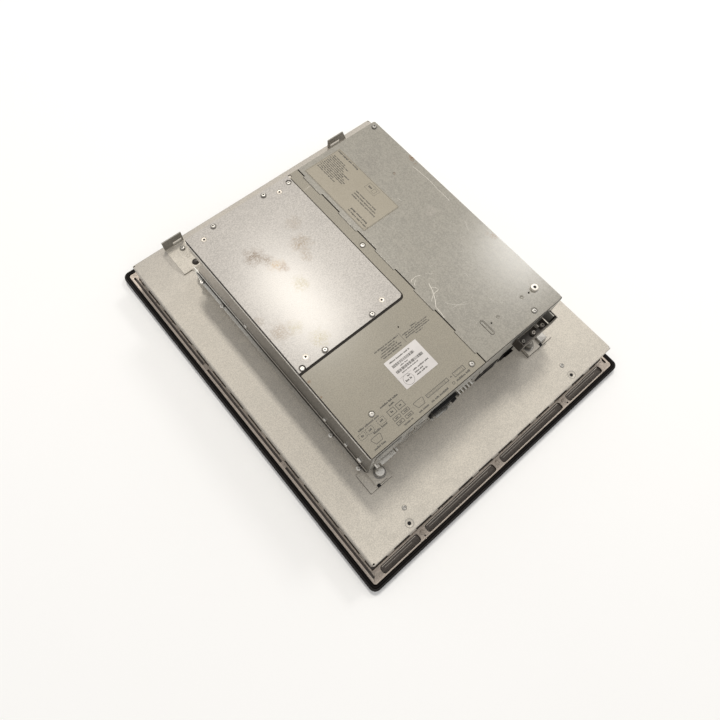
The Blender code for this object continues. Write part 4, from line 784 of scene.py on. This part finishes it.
class Print(Shape):
    """Flat ink shapes that lie just above a surface."""

    def __init__(self, z, seed=0):
        super().__init__()
        self.z = z
        self.random = random.Random(seed)

    def patch(self, points):
        self.bm.faces.new([self.bm.verts.new((x, y, self.z)) for x, y in points])

    def bar(self, x0, x1, y0, y1):
        self.patch([(x0, y0), (x1, y0), (x1, y1), (x0, y1)])

    def line(self, start, end, width):
        a, b = Vector(start), Vector(end)
        side = (b - a).orthogonal().normalized() * width / 2
        self.patch([tuple(a - side), tuple(b - side), tuple(b + side), tuple(a + side)])

    def outline(self, x0, x1, y0, y1, width=0.5):
        self.bar(x0, x1, y0, y0 + width)
        self.bar(x0, x1, y1 - width, y1)
        self.bar(x0, x0 + width, y0 + width, y1 - width)
        self.bar(x1 - width, x1, y0 + width, y1 - width)

    def dashes(self, x0, x1, y0, y1):
        for start, end in (((x0, y0), (x1, y0)), ((x1, y0), (x1, y1)), ((x1, y1), (x0, y1)), ((x0, y1), (x0, y0))):
            a, b = Vector(start), Vector(end)
            count = max(2, round((b - a).length / 1.8))
            for i in range(count):
                self.line(a.lerp(b, (i + 0.1) / count), a.lerp(b, (i + 0.65) / count), 0.5)

    def row(self, x0, x1, y, height, along="x"):
        """Row of letter-sized strokes in word-like groups."""
        place = x0
        while place < x1:
            for _ in range(self.random.randint(3, 9)):
                wide = height * self.random.uniform(0.46, 0.74)
                tall = height * self.random.choice((0.85, 0.85, 1.2))
                if place + wide > x1:
                    break
                if along == "x":
                    self.bar(place, place + wide, y, y + tall)
                else:
                    self.bar(y - tall, y, place, place + wide)
                place += wide + height * 0.2
            place += height * 0.6

    def circle(self, cx, cy, radius, width=0.5, steps=36):
        for i in range(steps):
            a, b = (2 * math.pi * (i + k) / steps for k in (0, 1))
            self.patch([(cx + r * math.cos(turn), cy + r * math.sin(turn))
                    for r, turn in ((radius, a), (radius, b), (radius - width, b), (radius - width, a))])

    def connector(self, x0, x1, y0, y1):
        """D-shaped outline of a connector."""
        inset = (y1 - y0) * 0.3
        points = [(x0 + inset, y0), (x1 - inset, y0), (x1, y1 - 1), (x1 - 1, y1), (x0 + 1, y1), (x0, y1 - 1)]
        for start, end in zip(points, [*points[1:], points[0]]):
            self.line(start, end, 0.45)

    def scratch(self, rng, x0, y0, x1, y1, width, bend, steps=9):
        """Thin wavering stroke that bends to one side."""
        a, b = Vector((x0, y0)), Vector((x1, y1))
        side = (b - a).orthogonal().normalized()
        places = []
        for i in range(steps + 1):
            t = i / steps
            places.append(tuple(a.lerp(b, t) + side * (bend * 4 * t * (1 - t) + rng.uniform(-0.25, 0.25))))
        for start, end in zip(places, places[1:]):
            self.line(start, end, width * 0.75)

    def done(self, name, look, slot):
        """Gives every flat shape a little thickness and makes the piece."""
        made = bmesh.ops.extrude_face_region(self.bm, geom=self.bm.faces[:])
        raised = [item for item in made["geom"] if isinstance(item, bmesh.types.BMVert)]
        bmesh.ops.translate(self.bm, vec=(0, 0, 0.02), verts=raised)
        piece(name, self, COMPUTER, look)


def lid_print():
    ink = Print(TOP_Z + 0.01, 3)
    for i, inset in enumerate((0, 7, 5, 2, 3.5)):
        ink.row(-61.8 + inset, -30.4 - inset, -69 - 2.5 * i, 1.2)
    ink.bar(-29.1, -28.8, -79.5, -67)
    for i, inset in enumerate((13, 0, 2, 1, 12)):
        ink.row(-27.2 + inset, 6.7 - inset, -69.6 - 2.2 * i, 1.1)
    for row in ((-94, -71, -114.6, 1.6), (-86, -79, -118.2, 1.3), (-124.5, -99.5, -118.8, 1.5),
            (-114.5, -97.5, -129.2, 1.6)):
        ink.row(*row)
    for x0, x1 in ((-127.8, -120.4), (-118.9, -111.1), (-105, -97)):
        ink.dashes(x0, x1, -126.6, -120.6)
        ink.row(x0 + 2.4, x1 - 1.8, -124.4, 1.7)
    ink.connector(-121, -109.6, -137.4, -131)
    for x0, x1 in ((-92, -83.4), (-81.4, -72.6)):
        ink.outline(x0, x1, -126.6, -120.2)
        ink.row(x0 + 3, x1 - 2, -124.2, 1.7)
        for y in (-132.5, -137.8):
            ink.outline(x0, x1, y, y + 3.6)
            ink.row(x0 + 2.6, x1 - 2, y + 1.1, 1.4)
    ink.connector(-67.2, -55.4, -137, -130.4)
    ink.outline(-52.3, -23.8, -135.6, -131.8)
    ink.bar(-28, -27.7, -135.3, -132.1)
    ink.outline(-51, -29.2, -134.4, -133, 0.2)
    ink.circle(-22.2, -140.2, 1.5)
    ink.row(-21, -18.9, -134.4, 1.2)
    ink.outline(-17, -2.6, -137.2, -132)
    ink.outline(-14.6, -5, -136.2, -133, 0.2)
    for x0, x1 in ((-124, -110.6), (-87, -76.2), (-68, -54.4), (-52, -28.4), (-18.4, -0.6)):
        ink.row(x0, x1, -141.4, 1.6)
    ink.done("lid_print", "ink", "printed_sheet")


def label_print():
    """Strokes, a bar pattern that encodes nothing and a circle on the white label; strokes on the rating plate."""
    ink = Print(top_of("serial_label") + 0.01, 5)
    ink.row(-57.5, -31, -86.6, 1.4)
    rng = random.Random(11)
    for y, x, x1 in ((-92.2, -57.6, -29.5), (-99, -58.4, -25)):
        while x < x1:
            wide = rng.choice((0.25, 0.25, 0.5, 0.75))
            ink.bar(x, x + wide, y, y + 3)
            x += wide + rng.choice((0.25, 0.3, 0.5))
    ink.row(-50.5, -40, -94.6, 1.1)
    ink.row(-54, -33, -101.4, 1.1)
    ink.circle(-53.2, -109.6, 5.8, 0.25)
    ink.row(-57, -49, -110.6, 1.8)
    ink.row(-52.4, -48.6, -107, 1)
    ink.bar(-60, -45.5, -104.1, -103.95)
    for i, short in enumerate((0, 9, 6)):
        ink.row(-44, -24 - short, -106.2 - 2.9 * i, 1.3)
    ink.done("label_print", "ink", "paper_label")
    ink = Print(top_of("rating_plate") + 0.01, 8)
    for i, start in enumerate((115, 120, 108, 106, 110, 114, 107, 119, 122, 117, 125)):
        ink.row(start, 145.5, 39.6 + 2.35 * i, 1.2, "y")
    ink.row(112, 146, 71.4, 1.9, "y")
    for i in range(3):
        ink.row(52 + 3 * i, 91, 44 + 3.4 * i, 1.3, "y")
    ink.row(48.5, 79, 28, 1.4, "y")
    ink.row(51, 77.5, 32, 1.9, "y")
    ink.outline(60.7, 69.8, 73.2, 89.6, 0.25)
    ink.outline(62.6, 68, 75.6, 80.4, 0.25)
    ink.row(82.4, 87.4, 66.6, 2.4, "y")
    ink.line((23.6, 49), (29.4, 45.9), 0.3)
    ink.outline(23.3, 72.9, 45.9, 147, 0.3)
    ink.done("plate_print", "ink", "foil_label")


def scratches():
    """Bright score marks on the expansion cover and fine ones on the drive cover."""
    rng = random.Random(4)
    marks = Print(TOP_Z + 0.005)
    for mark in ((123.2, 77, 124.6, 45, 0.5, 0.4), (124.4, 44, 123.4, 17, 0.45, -0.3),
            (20.5, -32.5, 24, -31, 0.45, 0.6, 4), (24, -31, 33, -32.5, 0.4, 1.2, 5),
            (20.4, -38, 26, -33.5, 0.35, 0.5, 4), (33.5, -45, 20.6, -70, 0.6, 1.6), (20.6, -70, 19, -84, 0.5, 0.4, 5),
            (33, -50, 36.5, -57, 0.45, 1, 4), (36.5, -57, 22, -62, 0.4, -1.8, 6),
            (31.5, -72, 49.5, -88, 0.22, -1.5, 6), (32, -81, 50, -85.5, 0.2, 0.8, 6), (38, -35, 46, -41, 0.2, 0.8, 5),
            (72, -60, 71.5, -66, 0.25, 0.1, 3), (71, -96, 72, -104, 0.22, 0.3, 3), (118, -12, 112, -25, 0.25, 0.6, 5),
            (80, 55, 81, 50, 0.3, 0.1, 3)):
        marks.scratch(rng, *mark)
    for _ in range(26):
        x, y = rng.uniform(22, 128), rng.uniform(-135, 30)
        angle = rng.uniform(0, math.pi)
        length = rng.uniform(3, 11)
        marks.scratch(rng, x, y, x + length * math.cos(angle), y + length * math.sin(angle), 0.1,
                rng.uniform(-0.6, 0.6), 4)
    marks.done("lid_scratches", "scratch", "bright_sheet")
    marks = Print(TOP_Z + 0.005)
    for mark in ((4.8, 126.6, 15, 127.2, 0.35, 0.2, 4), (-4, 111, -28, 95, 0.16, 1, 9),
            (-28, 95, -29, 99, 0.12, 0.1, 3), (-33, 60, -31, 22, 0.12, 0.8, 8), (-31, 22, -25, 12, 0.12, 0.3, 4),
            (-118, 105, -110, 110, 0.14, 0.4, 4)):
        marks.scratch(rng, *mark)
    marks.done("drive_marks", "wall", "bright_sheet")


# ---- Computer unit: body

def housing():
    refine("housing_tray", "wall", 0.25)
    refine("swing_carrier", "plate")
    refine("interface_panel", "panel", 0.12)
    for (side, outward), wall, turn in zip(SIDES, (BOX_X0, BOX_X1), ("-x", "x")):
        refine(f"side_rail_{side}", "rail", 0.18)
        web = wall + outward * 1.5
        # Near-black strip along the rail's web: painted shadow in the gap between rail and wall.
        shade = Shape().loft([[(x, -144.4, 56.6), (x, 157.5, 56.6), (x, 150, 63.4), (x, -144.4, 63.4)]
                for x in sorted((web, web + outward * 0.3))])
        piece(f"rail_shade_{side}", shade, COMPUTER, "gap_shadow")
        for number, y in enumerate((-136.6, -91.8, 102.5, 142)):
            pan_screw(f"rail_screw_{side}_{number}", (wall + outward * 4.2, y, 56.4), COMPUTER, radius=2.75,
                    height=2.2, look="bright")
        for number, (y, z, radius) in enumerate(((-111.3, 69, 2.3), (-77.3, 69, 2.3), (60, 69, 2.3),
                (-132.5, 73, 3.2))):
            pan_screw(f"wall_screw_{side}_{number}", (wall, y, z), COMPUTER, turn, radius, radius * 0.75, "bright")


def sockets():
    """Sockets, slot, inlet, switch and blank covers on the interface panel, and the retainer cage's contents."""
    usb_z = (72.2, 80)
    for side, _ in SIDES:
        node = f"port_stack_{side}"
        refine(node, "shell", 0.15)
        (x0, y0, _), (x1, _, _) = corners(node)
        middle = (x0 + x1) / 2
        tongues, contacts = Shape(), Shape()
        for z in usb_z:
            tongues.box((x0 + 2.6, x1 - 2.6), (y0 + 2, y0 + 11.9), (z - 0.7, z + 0.5))
        tongues.box((x0 + 3.4, x1 - 3.4), (y0 + 3, y0 + 12.9), (95.2, 96.4))
        piece(f"port_tongues_{side}", tongues, COMPUTER, "black", 0.1)
        for i in range(8):
            x = middle + (i - 3.5) * 1.02
            contacts.box((x - 0.2, x + 0.2), (y0 + 3.5, y0 + 12.5), (94.8, 95.15))
        for z in usb_z:
            for i in range(4):
                x = middle + (i - 1.5) * 2.1
                contacts.box((x - 0.5, x + 0.5), (y0 + 2.4, y0 + 11.5), (z + 0.55, z + 0.7))
        piece(f"port_contacts_{side}", contacts, COMPUTER, "brass")
    for node in ("fieldbus_connector", "serial_connector", "video_connector"):
        refine(node, "shell", 0.12)
    for node in ("fieldbus_connector", "serial_connector"):
        (x0, y0, z0), (x1, _, z1) = corners(node)
        pins = Shape()
        for rise, count in ((1.4, 5), (-1.4, 4)):
            for i in range(count):
                x = (x0 + x1) / 2 + (i - (count - 1) / 2) * 2.76
                pins.turned([(0.5, -6), (0.5, -1.2), (0.2, -0.6)], (x, y0, (z0 + z1) / 2 + rise), "-y", 12)
        piece(f"{node}_pins", pins, COMPUTER, "brass")
    for node, look, edge in (("card_slot", "black", 0.35), ("card_eject_button", "black", 0),
            ("power_inlet", "inlet", 0.3), ("switch_frame", "black", 0.25), ("power_rocker", "rim", 0.3),
            ("option_plate", "panel", 0.12), ("slot_cover_lower", "panel", 0.12), ("slot_cover_upper", "panel", 0.12),
            ("slot_retainer", "dark_steel", 0.2)):
        refine(node, look, edge)
    for number, (x, look) in enumerate(((76, "knob"), (92, "clip"), (106, "clip"))):
        pan_screw(f"retainer_screw_{number}", (x, PANEL_Y - 6, 100.1), COMPUTER, height=3.2, look=look)
    leaves = Shape()
    for x, reach in ((69, 5), (99.5, 3.6)):
        leaves.box((x - 0.45, x + 0.45), (PANEL_Y - 1.6 - reach, PANEL_Y - 1.4), (100.2, 106))
    leaves.box((114.3, 115.3), (PANEL_Y - 7.4, PANEL_Y - 1.5), (100.2, 112.2))
    piece("retainer_leaves", leaves, COMPUTER, "trim", 0.15)


def locks():
    """Knurled lock screws with their washers, and the small parts round the carrier's lugs."""
    # The left knob is painted light: it takes the bright look, while the same knob on the right takes the darker knob
    # look.
    for (side, centre), look, notch_x in zip(LOCKS.items(), ("bright", "knob"), (-129.8, 119.4)):
        name = f"lock_screw_{side}"
        x, y, z = centre.x, centre.y, top_of(name) - 8
        knob = Shape().turned([(2.5, -5), (2.5, -0.1), (4.7, 0), (4.9, 0.25), (4.9, 4.9), (4.6, 5.4), (4.2, 5.6),
                (3.2, 5.6), (2.9, 5.9), (2.9, 7.5), (2.6, 7.9), (2.3, 8)], (x, y, z), steps=96)
        cuts = Shape()
        for i in range(24):
            a = 2 * math.pi * i / 24
            cuts.turned([(0.32, 0.6), (0.32, 4.6)], (x + 4.95 * math.cos(a), y + 4.95 * math.sin(a), z), steps=8)
        cuts.box((x - 3.5, x + 3.5), (y - 0.4, y + 0.4), (z + 6.9, z + 9))
        piece(f"{name}_fine", knob, name, look, 0, (name,), cuts)
        refine(f"lock_washer_{side}", "zinc")
        # Dark rings on the washer: painted shade of its grooves.
        ridges = Shape()
        for radius in (5.5, 6.6):
            profile = ((radius - 0.22, -0.15), (radius + 0.22, -0.15), (radius + 0.12, 0.28), (radius - 0.12, 0.28))
            ridges.hoop((x, y), top_of(f"lock_washer_{side}"), profile, 47)
        piece(f"washer_ridges_{side}", ridges, COMPUTER, "dark_steel")
        if side == "right":
            stop_x = x + 18.5
            stop = stacked((stop_x - 5.4, stop_x + 5.4, -161.5, -152), (0, 1.2, LUG_Z + 0.05), (0, 1.2, LUG_Z + 3.2),
                    (0.8, 1, LUG_Z + 3.8), steps=4)
            piece("lug_stop", Shape().loft(stop), COMPUTER, "zinc")
        # Black block in the lug: painted shade inside the notch.
        notch = Shape().slab((notch_x - 1.9, notch_x + 1.9, -164.4, -161.2), 0.4, LUG_Z - 1.3, LUG_Z + 0.12, 3)
        piece(f"lug_notch_{side}", notch, COMPUTER, "black")
        # Thin dark strips round the lock base pad: painted shade along its edges.
        (x0, y0, _), (x1, y1, _) = corners(f"lock_base_{side}")
        edge_shade = Shape()
        for span_x, span_y in (((x0, x1), (y0 - 0.35, y0)), ((x0 - 0.35, x0), (y0 - 0.35, y1)),
                ((x1, x1 + 0.35), (y0 - 0.35, y1))):
            edge_shade.box(span_x, span_y, (PLATE_Z + 0.02, PLATE_Z + 0.5))
        piece(f"pad_edge_shade_{side}", edge_shade, DISPLAY, "dark_steel")


def inside():
    """Looks of the CAD nodes that are shown as they are."""
    nodes = {"zinc": ("lcd_panel", "drive_cage", "hard_disk", "buffer_battery"),
            "plate": ("display_chassis", "power_supply"), "shell": ("cpu_heatsink",), "rubber": ("inlet_cable",),
            "board": ("backlight_inverter", "touch_controller", "mainboard", "memory_module", "riser_board"),
            "black": ("fan_frame", "fan_rotor"), "glass": ("touch_glass",)}
    for look, names in nodes.items():
        for node in names:
            mesh = frame["nodes"][node].data
            mesh.materials.clear()
            mesh.materials.append(LOOKS[look])


# ---- Studio

def placed(name, data, matrix):
    made = bpy.data.objects.new(name, data)
    made.matrix_world = matrix
    bpy.context.scene.collection.objects.link(made)
    return made


def frame_of(across, up, back):
    """Turn whose X, Y and Z axes are these three."""
    return Matrix((across, up, back)).transposed().to_4x4()


def add_lamp(name, toward, distance, size_x, size_y, power, colour):
    """Soft lamp at a distance in metres from the middle of the lids, its long side along Y."""
    direction = Vector(toward).normalized()
    lamp = bpy.data.lights.new(name, "AREA")
    lamp.shape = "RECTANGLE"
    lamp.size = size_x
    lamp.size_y = size_y
    lamp.energy = power
    lamp.color = colour
    across = Vector((0, 1, 0)).cross(direction).normalized()
    place = Matrix.Translation(Vector((-0.05, 0.01, 0.12)) + direction * distance)
    placed(name, lamp, place @ frame_of(across, direction.cross(across), direction))


def studio():
    """White floor, two soft lamps, an even sky and the camera."""
    shape = Shape()
    bmesh.ops.create_grid(shape.bm, x_segments=1, y_segments=1, size=6000)
    floor = mesh_object("floor", shape)
    look = Look(bpy.data.materials.new("floor"))
    look.set("Base Color", look.mix(look.noise(300), (0.92, 0.92, 0.92), (0.94, 0.94, 0.94)))
    look.set("Roughness", 0.75)
    floor.data.materials.append(look.material)
    floor.location.z = -0.0004

    bpy.context.scene.world = bpy.data.worlds.new("studio")
    sky = Look(bpy.context.scene.world, "Background", "Generated")
    sky.set("Strength", sky.scale(sky.along("Z"), -0.1, 0.9, 0.5, 0.72))
    sky.set("Color", (1, 0.99, 0.975, 1))

    add_lamp("key", (0.2405, 0.389, 0.889), 4, 0.32, 0.85, 66, (1, 0.96, 0.89))
    add_lamp("side", (0.67, 0.12, 0.73), 1.58, 0.22, 0.26, 3.6, (1, 0.98, 0.95))

    right = Vector((0.75964, -0.64828, 0.05171))
    down = Vector((-0.59039, -0.72078, -0.3632))
    forward = Vector((0.27273, 0.24537, -0.93027))
    data = bpy.data.cameras.new("camera")
    data.lens = 27.03
    data.sensor_width = 36
    data.clip_start = 0.01
    place = Matrix.Translation((-0.22034, -0.19366, 0.61417))
    bpy.context.scene.camera = placed("camera", data, place @ frame_of(right, -down, -forward))
    bpy.context.scene.view_settings.view_transform = "Standard"


bezel()
gasket()
casting()
rear_cover()
hinge_parts()
drive_lid()
system_lid()
expansion_lid()
lid_gap_shadows()
lid_print()
refine("rating_plate", "foil", 0)
refine("serial_label", "paper", 0)
label_print()
scratches()
housing()
sockets()
locks()
inside()
studio()
